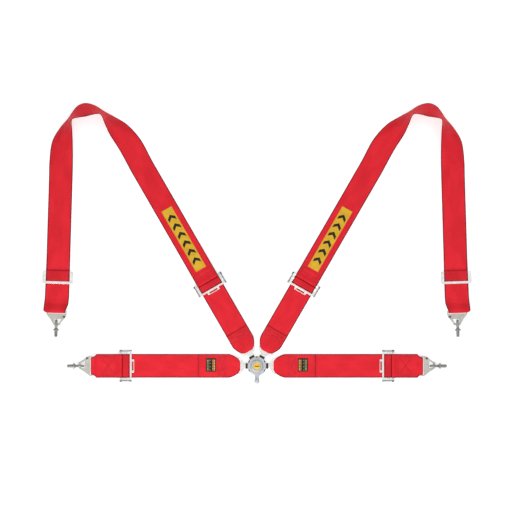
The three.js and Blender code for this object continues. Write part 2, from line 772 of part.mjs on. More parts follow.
function adjusterFrame() {
  const slotClear = LOCK_BAR_HALF + LOCK_TRAVEL + LOCK_CLEAR;
  const cheekOutline = [
    [-4, 1.5],
    [-2.5, 0],
    [REAR_BAR_AT + 3, 0],
    [REAR_BAR_AT + 4.5, 1.5],
    [REAR_BAR_AT + 4.5, CHEEK_HEIGHT - 3],
    [REAR_BAR_AT + 1.5, CHEEK_HEIGHT],
    [4, CHEEK_HEIGHT - 1],
    [-4, CHEEK_HEIGHT - 4],
  ];
  const lockSlot = [
    [LOCK_BAR_AT - slotClear, LOCK_BAR_LOW - GAP],
    [LOCK_BAR_AT + slotClear, LOCK_BAR_LOW - GAP],
    [LOCK_BAR_AT + slotClear, LOCK_BAR_LOW + LOCK_BAR_THICK + GAP],
    [LOCK_BAR_AT - slotClear, LOCK_BAR_LOW + LOCK_BAR_THICK + GAP],
  ];
  const barEnd = CHEEK_INNER + 1;
  const tab = [
    [-TAB_REACH + 2, -TAB_HALF],
    [0, -TAB_HALF],
    [0, TAB_HALF],
    [-TAB_REACH + 2, TAB_HALF],
    [-TAB_REACH, TAB_HALF - 2],
    [-TAB_REACH, 2 - TAB_HALF],
  ];
  const tabSlot = [
    [TAB_SLOT.from, -TAB_SLOT.half],
    [TAB_SLOT.to, -TAB_SLOT.half],
    [TAB_SLOT.to, TAB_SLOT.half],
    [TAB_SLOT.from, TAB_SLOT.half],
  ];
  const pieces = [
    box(-FRONT_BAR_HALF, FRONT_BAR_HALF, -barEnd, barEnd, BAR_LOW, BAR_LOW + FRONT_BAR_THICK),
    rodAcross(REAR_BAR_RADIUS, REAR_BAR_AT, REAR_BAR_Z, -barEnd, barEnd),
    plate(tab, BAR_LOW + 1, BAR_LOW + 3, [tabSlot]),
  ];
  for (const side of [-1, 1]) {
    const faces = [side * CHEEK_INNER, side * CHEEK_OUTER].sort((a, b) => a - b);
    pieces.push(barAcross(cheekOutline, faces[0], faces[1], [lockSlot]));
    for (const [x, z] of [[0, BAR_LOW + FRONT_BAR_THICK / 2], [REAR_BAR_AT, REAR_BAR_Z]]) {
      const boss = [side * (CHEEK_OUTER - 1), side * (CHEEK_OUTER + 1.5)].sort((a, b) => a - b);
      pieces.push(rodAcross(BOSS_RADIUS, x, z, boss[0], boss[1], 12));
    }
  }
  return join(...pieces);
}

function lockBar() {
  const tooth = 1;
  const high = LOCK_BAR_LOW + LOCK_BAR_THICK;
  const outline = [
    [LOCK_BAR_AT - LOCK_BAR_HALF, LOCK_BAR_LOW],
    [LOCK_BAR_AT - LOCK_BAR_HALF, high - tooth],
    [LOCK_BAR_AT - LOCK_BAR_HALF + tooth, high],
    [LOCK_BAR_AT + LOCK_BAR_HALF - tooth, high],
    [LOCK_BAR_AT + LOCK_BAR_HALF, high - tooth],
    [LOCK_BAR_AT + LOCK_BAR_HALF, LOCK_BAR_LOW],
  ];
  return barAcross(outline, -CHEEK_OUTER - 0.8, CHEEK_OUTER + 0.8);
}

function adjusterBight() {
  const reach = LOCK_BAR_HALF + LOCK_TRAVEL + LOCK_CLEAR + WEB_THICK / 2;
  const top = LOCK_BAR_LOW + LOCK_BAR_THICK + LOCK_CLEAR + WEB_THICK / 2;
  return bight(LOCK_BAR_AT - reach, LOCK_BAR_AT + reach, top, WEB_WIDTH / 2 - 0.5);
}

// In the tail's frame, from the hook's bar: two windows between three bars
function tailSlide() {
  const inner = WEB_WIDTH / 2 + SLIDE_CLEAR;
  const half = inner + SLIDE_SIDE;
  const high = BAR_LOW + SLIDE_THICK;
  const centre = -SLIDE_FROM_HOOK;
  const end = SLIDE_LENGTH / 2;
  const x = end - SLIDE_CORNER;
  const y = half - SLIDE_CORNER;
  const outline = [
    ...arc(centre + x, -y, SLIDE_CORNER, -90, 0, 4),
    ...arc(centre + x, y, SLIDE_CORNER, 0, 90, 4),
    ...arc(centre - x, y, SLIDE_CORNER, 90, 180, 4),
    ...arc(centre - x, -y, SLIDE_CORNER, 180, 270, 4),
  ];
  const window = (from, to) => box(centre + from, centre + to, -inner, inner, BAR_LOW - 1, high + 1);
  const windows = [
    window(SLIDE_MIDDLE_BAR / 2, end - SLIDE_END_BAR),
    window(SLIDE_END_BAR - end, -SLIDE_MIDDLE_BAR / 2),
  ];
  return cut(plate(outline, BAR_LOW, high), ...windows);
}

function tailBight() {
  const centre = -SLIDE_FROM_HOOK;
  const end = SLIDE_LENGTH / 2;
  const top = BAR_LOW + SLIDE_THICK + LOCK_CLEAR + WEB_THICK / 2;
  return bight(centre - end - 1.8, centre + end - SLIDE_END_BAR - 2.2, top, WEB_WIDTH / 2);
}

// ---------------------------------------------------------------- snap hook, gate, rivet, eyebolt

function towardsHand(points, hand) {
  return points.map(([x, y]) => [x, y * hand]);
}

// Hand +1 puts the mouth and the gate on the +Y side, and -1 on the -Y side
function snapHook(hand) {
  const low = HOOK_MID - HOOK_THICK / 2;
  const outline = [
    [-HOOK_BAR_HALF, -HOOK_HALF_WIDTH],
    [HOOK_SLOT_END + 1, -HOOK_HALF_WIDTH],
    [HOOK_HOLE_START, -20],
    [HOOK_HOLE_END, -12.5],
    ...arc(HOOK_TIP - 4, -5, 4, -60, 0, 3),
    ...arc(HOOK_TIP - 4, 9.5, 4, 0, 90, 4),
    [HOOK_HOLE_END + 0.5, 13.5],
    [HOOK_HOLE_END, 12],
    [HOOK_HOLE_END, -4],
    ...arc(HOOK_HOLE_END - 2, -4.2, 2, 0, -90, 4),
    ...arc(HOOK_HOLE_START + 2, -4.2, 2, -90, -180, 4),
    [HOOK_HOLE_START, 8],
    [HOOK_HOLE_START, 14],
    ...arc(...GATE_PIVOT, GATE_PIVOT_RADIUS + 0.4, -20, 60, 5),
    [HOOK_SLOT_END + 3, HOOK_HALF_WIDTH],
    [-HOOK_BAR_HALF, HOOK_HALF_WIDTH],
  ];
  const slotHalf = HOOK_END_HALF + 1.2;
  const slot = [
    [HOOK_BAR_HALF, -slotHalf],
    [HOOK_SLOT_END, -slotHalf],
    [HOOK_SLOT_END, slotHalf],
    [HOOK_BAR_HALF, slotHalf],
  ];
  const holes = [slot, circle(...GATE_PIVOT, RIVET_HOLE, 16)].map((points) => towardsHand(points, hand));
  return plate(towardsHand(outline, hand), low, low + HOOK_THICK, holes);
}

function hookGate(hand) {
  const low = HOOK_MID + HOOK_THICK / 2 + GAP;
  const [px, py] = GATE_PIVOT;
  const [tx, ty] = GATE_TIP;
  const heading = THREE.MathUtils.radToDeg(Math.atan2(ty - py, tx - px));
  const outline = [
    ...arc(px, py, GATE_PIVOT_RADIUS, heading + 70, heading + 290, 12),
    ...arc(tx, ty, GATE_TIP_RADIUS, heading - 90, heading + 90, 6),
  ];
  const hole = circle(px, py, RIVET_HOLE, 16);
  return plate(towardsHand(outline, hand), low, low + GATE_THICK, [towardsHand(hole, hand)]);
}

function gateRivet(hand) {
  const plateLow = HOOK_MID - HOOK_THICK / 2;
  const gateTop = HOOK_MID + HOOK_THICK / 2 + GAP + GATE_THICK;
  return turned([
    [0, plateLow - GAP - 1.2],
    [RIVET_HEAD - 0.6, plateLow - GAP - 1],
    [RIVET_HEAD, plateLow - GAP],
    [RIVET_HOLE - GAP, plateLow - GAP],
    [RIVET_HOLE - GAP, gateTop + GAP],
    [RIVET_HEAD, gateTop + GAP],
    [RIVET_HEAD - 0.6, gateTop + GAP + 1],
    [0, gateTop + GAP + 1.4],
  ], 16).translate(GATE_PIVOT[0], GATE_PIVOT[1] * hand, 0);
}

// The ring stands upright in the plane of X and Z, and the shank leaves it along +X
function eyebolt() {
  const ring = new THREE.TorusGeometry(RING_RADIUS, RING_SECTION, 8, 20)
    .rotateX(Math.PI / 2)
    .translate(RING_AT, 0, RING_MID);
  const neck = RING_AT + RING_RADIUS + 1.5;
  const stem = turned([
    [0, neck],
    [SHANK_RADIUS, neck],
    [SHANK_RADIUS, COLLAR_FACE - 6],
    [COLLAR_RADIUS - 1, COLLAR_FACE - 3.4],
    [COLLAR_RADIUS, COLLAR_FACE - 2.6],
    [COLLAR_RADIUS, COLLAR_FACE],
    [SHANK_RADIUS, COLLAR_FACE],
    [SHANK_RADIUS, SHANK_TIP - 1.2],
    [SHANK_RADIUS - 1.2, SHANK_TIP],
    [0, SHANK_TIP],
  ], 16).rotateY(Math.PI / 2).translate(0, 0, RING_MID);
  return join(ring, stem);
}

// ---------------------------------------------------------------- assembly

const harness = new THREE.Group();

function mesh(name, geometry, look, group = harness) {
  const piece = new THREE.Mesh(geometry, new THREE.MeshStandardMaterial(look));
  piece.name = name;
  group.add(piece);
  return piece;
}

function mirrored(geometry) {
  geometry.scale(-1, 1, 1);
  return turnedInsideOut(geometry);
}

mesh("buckle_back_plate", backPlate(), SILVER);
mesh("buckle_housing", housing(), SILVER);
mesh("port_liner", portLiner(), BLACK_PLASTIC);
mesh("latch_ring", latchRing(), STEEL);
mesh("cam_sleeve", camSleeve(), STEEL);
mesh("pivot_bolt", pivotBolt(), STEEL);
mesh("lever_return_spring", returnSpring(), STEEL);
mesh("captive_pin", captivePin(), STEEL);
mesh("release_lever", releaseLever(), SILVER);
mesh("lever_badge", leverBadge(), YELLOW);

function addStrapHardware(name, arm, adjuster) {
  mesh(`tongue_${name}`, tongue(), STEEL, arm);
  const station = new THREE.Group();
  station.position.x = adjuster;
  arm.add(station);
  mesh(`adjuster_frame_${name}`, adjusterFrame(), STEEL, station);
  mesh(`lock_bar_${name}`, lockBar(), STEEL, station);
  mesh(`adjuster_bight_${name}`, adjusterBight(), DULL_WEBBING, station);
}

function addHook(name, group, hand) {
  mesh(`snap_hook_${name}`, snapHook(hand), ZINC, group);
  mesh(`hook_gate_${name}`, hookGate(hand), ZINC, group);
  mesh(`gate_rivet_${name}`, gateRivet(hand), DARK_STEEL, group);
  mesh(`eyebolt_${name}`, eyebolt(), DARK_STEEL, group);
}

for (const [side, sign] of [["left", -1], ["right", 1]]) {
  const lap = new THREE.Group();
  lap.rotation.z = sign > 0 ? 0 : Math.PI;
  harness.add(lap);
  addStrapHardware(`lap_${side}`, lap, LAP_ADJUSTER);
  mesh(`lap_inner_webbing_${side}`, innerStrap(LAP_SEAM, LAP_ADJUSTER, LAP_TAIL_LENGTH), RED_WEBBING, lap);
  mesh(`lap_outer_webbing_${side}`, lapOuterStrap(), RED_WEBBING, lap);
  mesh(`lap_label_${side}`, lapLabel(sign), BLACK_CLOTH, lap);
  const lapHook = new THREE.Group();
  lapHook.position.x = LAP_HOOK;
  lap.add(lapHook);
  addHook(`lap_${side}`, lapHook, sign);

  const shoulder = new THREE.Group();
  shoulder.rotation.z = radians(sign > 0 ? SHOULDER_ANGLE : 180 - SHOULDER_ANGLE);
  harness.add(shoulder);
  addStrapHardware(`shoulder_${side}`, shoulder, SHOULDER_ADJUSTER);
  const lower = innerStrap(SHOULDER_SEAM, SHOULDER_ADJUSTER, SHOULDER_TAIL_LENGTH);
  mesh(`shoulder_lower_webbing_${side}`, lower, RED_WEBBING, shoulder);
  mesh(`shoulder_label_${side}`, shoulderLabel(), YELLOW, shoulder);
  const upper = shoulderUpperStrap();
  mesh(`shoulder_upper_webbing_${side}`, sign > 0 ? upper : mirrored(upper), RED_WEBBING);

  const tail = new THREE.Group();
  tail.position.set(TAIL_HOOK.x * sign, TAIL_HOOK.y, 0);
  tail.rotation.z = radians(sign > 0 ? TAIL_HEADING : 180 - TAIL_HEADING);
  harness.add(tail);
  addHook(`shoulder_${side}`, tail, -sign);
  mesh(`tail_slide_${side}`, tailSlide(), STEEL, tail);
  mesh(`tail_bight_${side}`, tailBight(), DULL_WEBBING, tail);
}

export default harness;
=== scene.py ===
"""Looks of a four-strap racing harness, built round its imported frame.

Every size is in millimetres in the piece's own frame, and each mesh is scaled to metres when it is put
in place. In a strap's frame +X runs outwards from the buckle, +Y across the webbing and +Z up from the
surface it lies on.
"""

import logging
import math
from dataclasses import dataclass, field
from enum import Enum

import bmesh
import bpy
from mathutils import Matrix, Vector, noise


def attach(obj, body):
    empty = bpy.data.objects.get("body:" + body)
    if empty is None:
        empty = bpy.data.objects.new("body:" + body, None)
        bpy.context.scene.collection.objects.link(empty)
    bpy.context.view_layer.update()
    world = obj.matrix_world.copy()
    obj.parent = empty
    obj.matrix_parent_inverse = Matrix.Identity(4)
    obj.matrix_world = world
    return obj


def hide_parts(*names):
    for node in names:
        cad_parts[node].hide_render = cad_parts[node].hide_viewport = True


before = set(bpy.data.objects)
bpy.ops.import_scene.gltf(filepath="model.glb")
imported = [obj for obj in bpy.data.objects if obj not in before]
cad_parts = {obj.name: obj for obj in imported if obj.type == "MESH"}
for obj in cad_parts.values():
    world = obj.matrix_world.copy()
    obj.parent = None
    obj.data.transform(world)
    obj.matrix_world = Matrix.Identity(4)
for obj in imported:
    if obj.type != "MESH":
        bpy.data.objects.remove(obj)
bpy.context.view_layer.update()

LOG = logging.getLogger("harness")

MM = 0.001
FULL_TURN = 2 * math.pi
WEAVE_MAP = "weave"
EDGE_ATTRIBUTE = "from_edge"
# How far the dark of a cut end, partly its sealed edge and partly painted shade where the ply ends, stays
# short of a selvedge's, in millimetres
CUT_END_FADE = 1.6
# Up to this angle, in degrees, neighbouring faces shade as one surface
SMOOTH_ANGLE = 40.0
# Faces that meet within this angle, in radians, are merged into one
FLAT_ANGLE = 0.01
# How far a stitch stands clear of the webbing that it is sewn on, in millimetres
STITCH_LIFT = 0.08

# Distances from the buckle's centre to the straps' adjusters and to the lap hooks, in millimetres
LAP_ADJUSTER = 401.0
LAP_HOOK = 522.5
SHOULDER_ADJUSTER = 282.0
# From an adjuster to its rear bar, in millimetres
REAR_BAR = 31.5
# Heading of the right shoulder strap, in degrees; the left one mirrors it
SHOULDER_ANGLE = 60.0

Point = tuple[float, float]
Section = tuple[Vector, Vector]


class Grain(Enum):
    """How a metal or plastic surface was left by the tool that made it."""

    BRUSHED = "brushed"
    TURNED = "turned"
    CAST = "cast"
    PLATED = "plated"
    MOULDED = "moulded"


class Side(Enum):
    """The wearer's strap as it lies: its name ending and its hand, +1 on the +X side."""

    LEFT = ("left", -1)
    RIGHT = ("right", 1)

    @property
    def word(self) -> str:
        """The ending of the names on this side."""
        return self.value[0]

    @property
    def hand(self) -> int:
        """+1 on the +X side and -1 on the -X side."""
        return self.value[1]


# ---------------------------------------------------------------- shader nodes


class Shading:
    """A material's node tree while it is being wired."""

    def __init__(self, name: str) -> None:
        """Starts an empty material.

        Args:
            name: the finish's name.
        """
        self.material = bpy.data.materials.new(name)
        self.material.use_nodes = True
        self.tree = self.material.node_tree
        self.tree.nodes.clear()
        self.output = self.tree.nodes.new("ShaderNodeOutputMaterial")
        self.shader = self.tree.nodes.new("ShaderNodeBsdfPrincipled")
        self.join(self.shader.outputs["BSDF"], self.output.inputs["Surface"])

    def join(self, source: bpy.types.NodeSocket, target: bpy.types.NodeSocket) -> None:
        """Links one socket to another."""
        self.tree.links.new(source, target)

    def feed(self, target: bpy.types.NodeSocket, value: object) -> None:
        """Gives an input its value, by a link where the value is a socket.

        Args:
            target: the input.
            value: a socket, a number, a vector or a colour.
        """
        if isinstance(value, bpy.types.NodeSocket):
            self.join(value, target)
        else:
            target.default_value = value

    def math(self, operation: str, *values: object) -> bpy.types.NodeSocket:
        """A Math node's result.

        Args:
            operation: the node's operation.
            values: one to three sockets or numbers.

        Returns:
            The result's socket.
        """
        node = self.tree.nodes.new("ShaderNodeMath")
        node.operation = operation
        for target, value in zip(node.inputs, values):
            self.feed(target, value)
        return node.outputs[0]

    def span(self, value: object, low: float, high: float, to_low: float = 0.0,
             to_high: float = 1.0) -> bpy.types.NodeSocket:
        """A value carried smoothly from one range to another.

        Args:
            value: the socket to carry over.
            low: where the first range starts.
            high: where it ends.
            to_low: what the start becomes.
            to_high: what the end becomes.

        Returns:
            The result's socket.
        """
        node = self.tree.nodes.new("ShaderNodeMapRange")
        node.interpolation_type = "SMOOTHSTEP"
        for name, given in (("Value", value), ("From Min", low), ("From Max", high)):
            self.feed(node.inputs[name], given)
        node.inputs["To Min"].default_value = to_low
        node.inputs["To Max"].default_value = to_high
        return node.outputs["Result"]

    def mix(self, share: object, first: object, second: object) -> bpy.types.NodeSocket:
        """Two colours mixed.

        Args:
            share: how much of the second there is, a socket or a number.
            first: a colour or a socket.
            second: a colour or a socket.

        Returns:
            The colour's socket.
        """
        node = self.tree.nodes.new("ShaderNodeMix")
        node.data_type = "RGBA"
        self.feed(node.inputs[0], share)
        self.feed(node.inputs[6], first)
        self.feed(node.inputs[7], second)
        return node.outputs[2]

    def place(self) -> bpy.types.NodeSocket:
        """The point's place on the piece, in metres."""
        return self.tree.nodes.new("ShaderNodeTexCoord").outputs["Object"]

    def stretched(self, vector: bpy.types.NodeSocket,
                  scale: tuple[float, float, float]) -> bpy.types.NodeSocket:
        """A vector scaled along its axes.

        Args:
            vector: the socket to scale.
            scale: the three factors.

        Returns:
            The scaled socket.
        """
        node = self.tree.nodes.new("ShaderNodeMapping")
        self.join(vector, node.inputs["Vector"])
        node.inputs["Scale"].default_value = scale
        return node.outputs["Vector"]

    def cloud(self, vector: bpy.types.NodeSocket, scale: float, detail: float = 3.0) -> bpy.types.NodeSocket:
        """Soft noise from 0 to 1.

        Args:
            vector: where to read it.
            scale: how fine it is.
            detail: its octaves.

        Returns:
            The noise's socket.
        """
        node = self.tree.nodes.new("ShaderNodeTexNoise")
        self.join(vector, node.inputs["Vector"])
        node.inputs["Scale"].default_value = scale
        node.inputs["Detail"].default_value = detail
        return node.outputs[0]

    def raised(self, height: bpy.types.NodeSocket, strength: float, distance: float) -> None:
        """Bumps the surface by a height.

        Args:
            height: the height's socket.
            strength: from 0 to 1.
            distance: the full height, in metres.
        """
        node = self.tree.nodes.new("ShaderNodeBump")
        node.inputs["Strength"].default_value = strength
        node.inputs["Distance"].default_value = distance
        self.join(height, node.inputs["Height"])
        self.join(node.outputs["Normal"], self.shader.inputs["Normal"])

    def plain(self, **values: object) -> None:
        """Sets inputs of the shader that are the same all over, underscores standing for spaces."""
        for name, value in values.items():
            self.shader.inputs[name.replace("_", " ")].default_value = value


def colour(red: int, green: int, blue: int) -> tuple[float, float, float, float]:
    """A screen colour as the shader's linear one.

    Args:
        red: 0 to 255.
        green: 0 to 255.
        blue: 0 to 255.

    Returns:
        Linear red, green, blue and alpha.
    """
    shares = [c / 255 for c in (red, green, blue)]
    linear = [c / 12.92 if c <= 0.04 else ((c + 0.055) / 1.055) ** 2.4 for c in shares]
    return (*linear, 1.0)


@dataclass(frozen=True)
class WebbingFinish:
    """Polyester webbing: lengthwise ribs with a slanted twill in each, painted shade in the weave's hollows,
    and a firm selvedge whose dark band is partly painted shade along the edges.
    """

    name: str
    # lit is the colour on the weave's ridges and deep the painted shade in its hollows
    lit: tuple[int, int, int]
    deep: tuple[int, int, int]
    # selvedge is the dark edge band: partly the firm selvedge's own colour, partly painted shade along the
    # edges
    selvedge: tuple[int, int, int]
    rib: float = 1.9
    thread: float = 1.15
    selvedge_width: float = 3.5

    def material(self) -> bpy.types.Material:
        """The finish as a material that reads the weave map, in millimetres."""
        s = Shading(self.name)
        uv = s.tree.nodes.new("ShaderNodeUVMap")
        uv.uv_map = WEAVE_MAP
        split = s.tree.nodes.new("ShaderNodeSeparateXYZ")
        s.join(uv.outputs["UV"], split.inputs["Vector"])
        across, along = split.outputs["X"], split.outputs["Y"]
        # Each rib's twill slants the other way from its neighbour's, as in a herringbone
        zigzag = s.math("PINGPONG", across, self.rib)
        slant = s.math("DIVIDE", s.math("ADD", along, s.math("MULTIPLY", zigzag, 1.1)), self.thread)
        twill = s.math("ABSOLUTE", s.math("SINE", s.math("MULTIPLY", slant, math.pi)))
        rib_turn = s.math("MULTIPLY", s.math("DIVIDE", across, self.rib), math.pi)
        valley = s.math("ABSOLUTE", s.math("SINE", rib_turn))
        ribs = s.math("POWER", valley, 0.45)
        height = s.math("MULTIPLY", s.math("ADD", s.math("MULTIPLY", twill, 0.55), 0.45), ribs)
        fuzz = s.cloud(s.stretched(uv.outputs["UV"], (2.4, 0.9, 1.0)), 1.0, 4.0)
        blotch = s.cloud(s.stretched(uv.outputs["UV"], (0.03, 0.012, 1.0)), 1.0, 3.0)
        # The weave's hollows take the deep colour as painted shade and its ridges the lit one; the fuzz and
        # the blotches add random tone
        share = s.math("ADD", s.math("MULTIPLY", height, 0.62), s.math("MULTIPLY", fuzz, 0.28))
        share = s.math("ADD", share, s.span(blotch, 0.3, 0.7, -0.08, 0.2))
        shade = s.mix(share, colour(*self.deep), colour(*self.lit))
        # Darker towards the selvedges: partly their own colour, partly painted shade along the ply's edges
        edge = s.tree.nodes.new("ShaderNodeAttribute")
        edge.attribute_name = EDGE_ATTRIBUTE
        near = s.span(edge.outputs["Fac"], self.selvedge_width * 0.55, self.selvedge_width, 1.0, 0.0)
        s.join(s.mix(near, shade, colour(*self.selvedge)), s.shader.inputs["Base Color"])
        s.join(s.span(height, 0.0, 1.0, 0.72, 0.5), s.shader.inputs["Roughness"])
        relief = s.math("ADD", height, s.math("MULTIPLY", fuzz, 0.35))
        s.raised(relief, 0.75, 0.00022)
        s.plain(Sheen_Weight=0.05, Sheen_Roughness=0.4, Sheen_Tint=(0.9, 0.2, 0.22, 1.0),
                Specular_IOR_Level=0.1)
        return s.material


@dataclass(frozen=True)
class ClothFinish:
    """A closely woven label or a raised print on it, in plain weave, darker between the threads as painted
    shade.
    """

    name: str
    lit: tuple[int, int, int]
    deep: tuple[int, int, int]
    pitch: float = 0.6

    def material(self) -> bpy.types.Material:
        """The finish as a material on the piece's own coordinates."""
        s = Shading(self.name)
        place = s.place()
        wave = s.tree.nodes.new("ShaderNodeTexVoronoi")
        s.join(place, wave.inputs["Vector"])
        wave.inputs["Scale"].default_value = 1000 / self.pitch
        wave.inputs["Randomness"].default_value = 0.35
        dots = wave.outputs["Distance"]
        blotch = s.cloud(place, 60.0, 4.0)
        # Between the threads, where the relief is low, the deep colour falls as painted shade; the blotches
        # add random tone
        share = s.math("ADD", s.math("MULTIPLY", dots, 0.5), s.span(blotch, 0.3, 0.7, 0.0, 0.5))
        s.join(s.mix(share, colour(*self.lit), colour(*self.deep)), s.shader.inputs["Base Color"])
        s.join(s.span(blotch, 0.3, 0.7, 0.55, 0.7), s.shader.inputs["Roughness"])
        s.raised(s.math("SUBTRACT", 1.0, dots), 0.6, 0.00012)
        s.plain(Sheen_Weight=0.12, Specular_IOR_Level=0.3)
        return s.material


@dataclass(frozen=True)
class MetalFinish:
    """A bare or plated metal with its grain and its handling marks."""

    name: str
    lit: tuple[int, int, int]
    worn: tuple[int, int, int]
    roughness: float
    grain: Grain
    metallic: float = 1.0

    def material(self) -> bpy.types.Material:
        """The finish as a material on the piece's own coordinates."""
        s = Shading(self.name)
        place = s.place()
        scale = {
            Grain.BRUSHED: (60.0, 1500.0, 60.0),
            Grain.TURNED: (900.0, 900.0, 2600.0),
            Grain.CAST: (700.0, 700.0, 700.0),
            Grain.PLATED: (350.0, 350.0, 350.0),
            Grain.MOULDED: (1100.0, 1100.0, 1100.0),
        }[self.grain]
        grain = s.cloud(s.stretched(place, scale), 1.0, 5.0)
        patches = s.cloud(place, 95.0, 4.0)
        scuffs = s.tree.nodes.new("ShaderNodeTexVoronoi")
        scuffs.feature = "DISTANCE_TO_EDGE"
        s.join(s.stretched(place, (160.0, 420.0, 160.0)), scuffs.inputs["Vector"])
        scratch = s.span(scuffs.outputs["Distance"], 0.0, 0.035, 1.0, 0.0)
        marks = s.math("MULTIPLY", scratch, s.span(patches, 0.52, 0.72, 0.0, 0.7))
        share = s.math("MAXIMUM", s.span(patches, 0.35, 0.75, 0.0, 0.55), marks)
        s.join(s.mix(share, colour(*self.lit), colour(*self.worn)), s.shader.inputs["Base Color"])
        rough = s.span(s.math("ADD", grain, s.math("MULTIPLY", patches, 0.6)), 0.4, 1.2,
                       self.roughness * 0.8, self.roughness * 1.35)
        s.join(rough, s.shader.inputs["Roughness"])
        deep = {Grain.CAST: 0.00012, Grain.MOULDED: 0.00008}.get(self.grain, 0.00003)
        s.raised(s.math("SUBTRACT", grain, s.math("MULTIPLY", marks, 0.5)), 0.5, deep)
        s.plain(Metallic=self.metallic)
        return s.material


@dataclass(frozen=True)
class ThreadFinish:
    """Sewing thread: two plies twisted round each other, with a slight gloss, darker in the hollows of its
    relief as painted shade.
    """

    name: str
    lit: tuple[int, int, int]
    deep: tuple[int, int, int]

    def material(self) -> bpy.types.Material:
        """The finish as a material on the piece's own coordinates."""
        s = Shading(self.name)
        place = s.place()
        fibre = s.cloud(s.stretched(place, (2600.0, 2600.0, 900.0)), 1.0, 3.0)
        # The noise that bumps the thread also darkens its low places into the deep colour: painted shade,
        # with random tone
        s.join(s.mix(fibre, colour(*self.deep), colour(*self.lit)), s.shader.inputs["Base Color"])
        s.join(s.span(fibre, 0.2, 0.8, 0.62, 0.42), s.shader.inputs["Roughness"])
        s.raised(fibre, 0.5, 0.00008)
        s.plain(Sheen_Weight=0.1)
        return s.material


class Finishes:
    """Every finish of the harness, made once and used by all its pieces."""

    def __init__(self) -> None:
        """Makes the materials."""
        made = [
            WebbingFinish("red_webbing", (246, 47, 59), (186, 21, 35), (112, 8, 28)),
            # A darker copy of the same webbing for the bands over the lock bars and the slides: painted
            # shade
            WebbingFinish("red_webbing_band_shaded", (234, 44, 56), (170, 18, 32), (92, 6, 24)),
            ThreadFinish("red_thread", (164, 10, 26), (104, 4, 14)),
            ThreadFinish("amber_thread", (255, 186, 84), (232, 146, 46)),
            ThreadFinish("black_thread", (52, 34, 30), (16, 10, 10)),
            ClothFinish("yellow_cloth", (226, 184, 40), (202, 154, 24)),
            ClothFinish("black_cloth", (46, 34, 28), (14, 10, 9)),
            ClothFinish("black_print", (40, 26, 18), (16, 10, 8), 0.45),
            ClothFinish("khaki_print", (176, 168, 118), (120, 116, 74), 0.45),
            ClothFinish("moss_print", (104, 112, 66), (58, 64, 36), 0.45),
            ClothFinish("amber_print", (222, 170, 44), (190, 132, 28), 0.45),
            ClothFinish("salmon_print", (240, 176, 104), (216, 128, 76), 0.45),
            MetalFinish("satin_alloy", (200, 202, 205), (166, 169, 174), 0.4, Grain.TURNED),
            MetalFinish("bright_alloy", (188, 190, 193), (160, 163, 168), 0.5, Grain.CAST, 0.5),
            MetalFinish("bright_steel", (242, 242, 239), (204, 206, 202), 0.24, Grain.BRUSHED),
            MetalFinish("plain_steel", (142, 146, 146), (98, 103, 103), 0.36, Grain.PLATED),
            MetalFinish("zinc_plate", (200, 199, 193), (166, 167, 160), 0.38, Grain.PLATED),
            MetalFinish("forged_steel", (158, 160, 157), (104, 108, 105), 0.4, Grain.PLATED, 0.35),
            MetalFinish("dark_steel", (104, 108, 108), (58, 62, 62), 0.36, Grain.PLATED),
            MetalFinish("black_plastic", (22, 22, 26), (34, 34, 40), 0.42, Grain.MOULDED, 0.0),
            MetalFinish("yellow_enamel", (232, 198, 60), (216, 176, 44), 0.3, Grain.MOULDED, 0.0),
            MetalFinish("amber_enamel", (150, 88, 10), (120, 66, 6), 0.32, Grain.MOULDED, 0.0),
        ]
        self.named = {finish.name: finish.material() for finish in made}

    def __getitem__(self, name: str) -> bpy.types.Material:
        """The material of that name."""
        return self.named[name]


# ---------------------------------------------------------------- shapes

# Stands a flat outline up, its own Z along -Y
UPRIGHT = Matrix(((1, 0, 0, 0), (0, 0, -1, 0), (0, 1, 0, 0), (0, 0, 0, 1)))


def arc(x: float, y: float, radius: float, start: float, end: float, steps: int) -> list[Point]:
    """Points along an arc.

    Args:
        x: the centre.
        y: the centre.
        radius: of the arc.
        start: first angle in degrees.
        end: last angle in degrees.
        steps: the number of chords.

    Returns:
        The points, both ends included.
    """
    angles = [math.radians(start + (end - start) * i / steps) for i in range(steps + 1)]
    return [(x + radius * math.cos(a), y + radius * math.sin(a)) for a in angles]


def ring_of(x: float, y: float, radius: float, steps: int = 24) -> list[Point]:
    """A whole circle's points, the last one left out."""
    return arc(x, y, radius, 0, 360, steps)[:-1]


def rounded_bar(half_x: float, half_y: float, radius: float, x: float = 0.0, y: float = 0.0) -> list[Point]:
    """A rectangle with round corners about a centre.

    Args:
        half_x: half its length.
        half_y: half its width.
        radius: of the corners.
        x: the centre.
        y: the centre.

    Returns:
        The outline's points, anticlockwise.
    """
    points = []
    for across, up, start in ((1, -1, -90), (1, 1, 0), (-1, 1, 90), (-1, -1, 180)):
        corner = (x + across * (half_x - radius), y + up * (half_y - radius))
        points += arc(*corner, radius, start, start + 90, 4)
    return points


def bevelled(bm: bmesh.types.BMesh, width: float, angle: float) -> None:
    """Rounds every edge that is sharper than an angle, with two faces.

    Args:
        bm: the mesh.
        width: of the rounding.
        angle: the least angle of an edge that is rounded, in degrees.
    """
    sharp = [e for e in bm.edges if e.is_manifold and e.calc_face_angle(0.0) > math.radians(angle)]
    bmesh.ops.bevel(bm, geom=sharp, offset=width, offset_type="OFFSET", segments=2, profile=0.5,
                    affect="EDGES", material=-1, clamp_overlap=True)


def spun(bm: bmesh.types.BMesh, geom: list[object], angle: float, steps: int, climb: float = 0.0) -> None:
    """Spins part of a mesh about Z, closed on itself unless it climbs.

    Args:
        bm: the mesh.
        geom: what to spin.
        angle: how far, in radians.
        steps: the number of steps.
        climb: how far it rises at each step.
    """
    bmesh.ops.spin(bm, geom=geom, cent=(0, 0, 0), axis=(0, 0, 1), dvec=(0, 0, climb), angle=angle,
                   steps=steps, use_merge=not climb, use_duplicate=False)


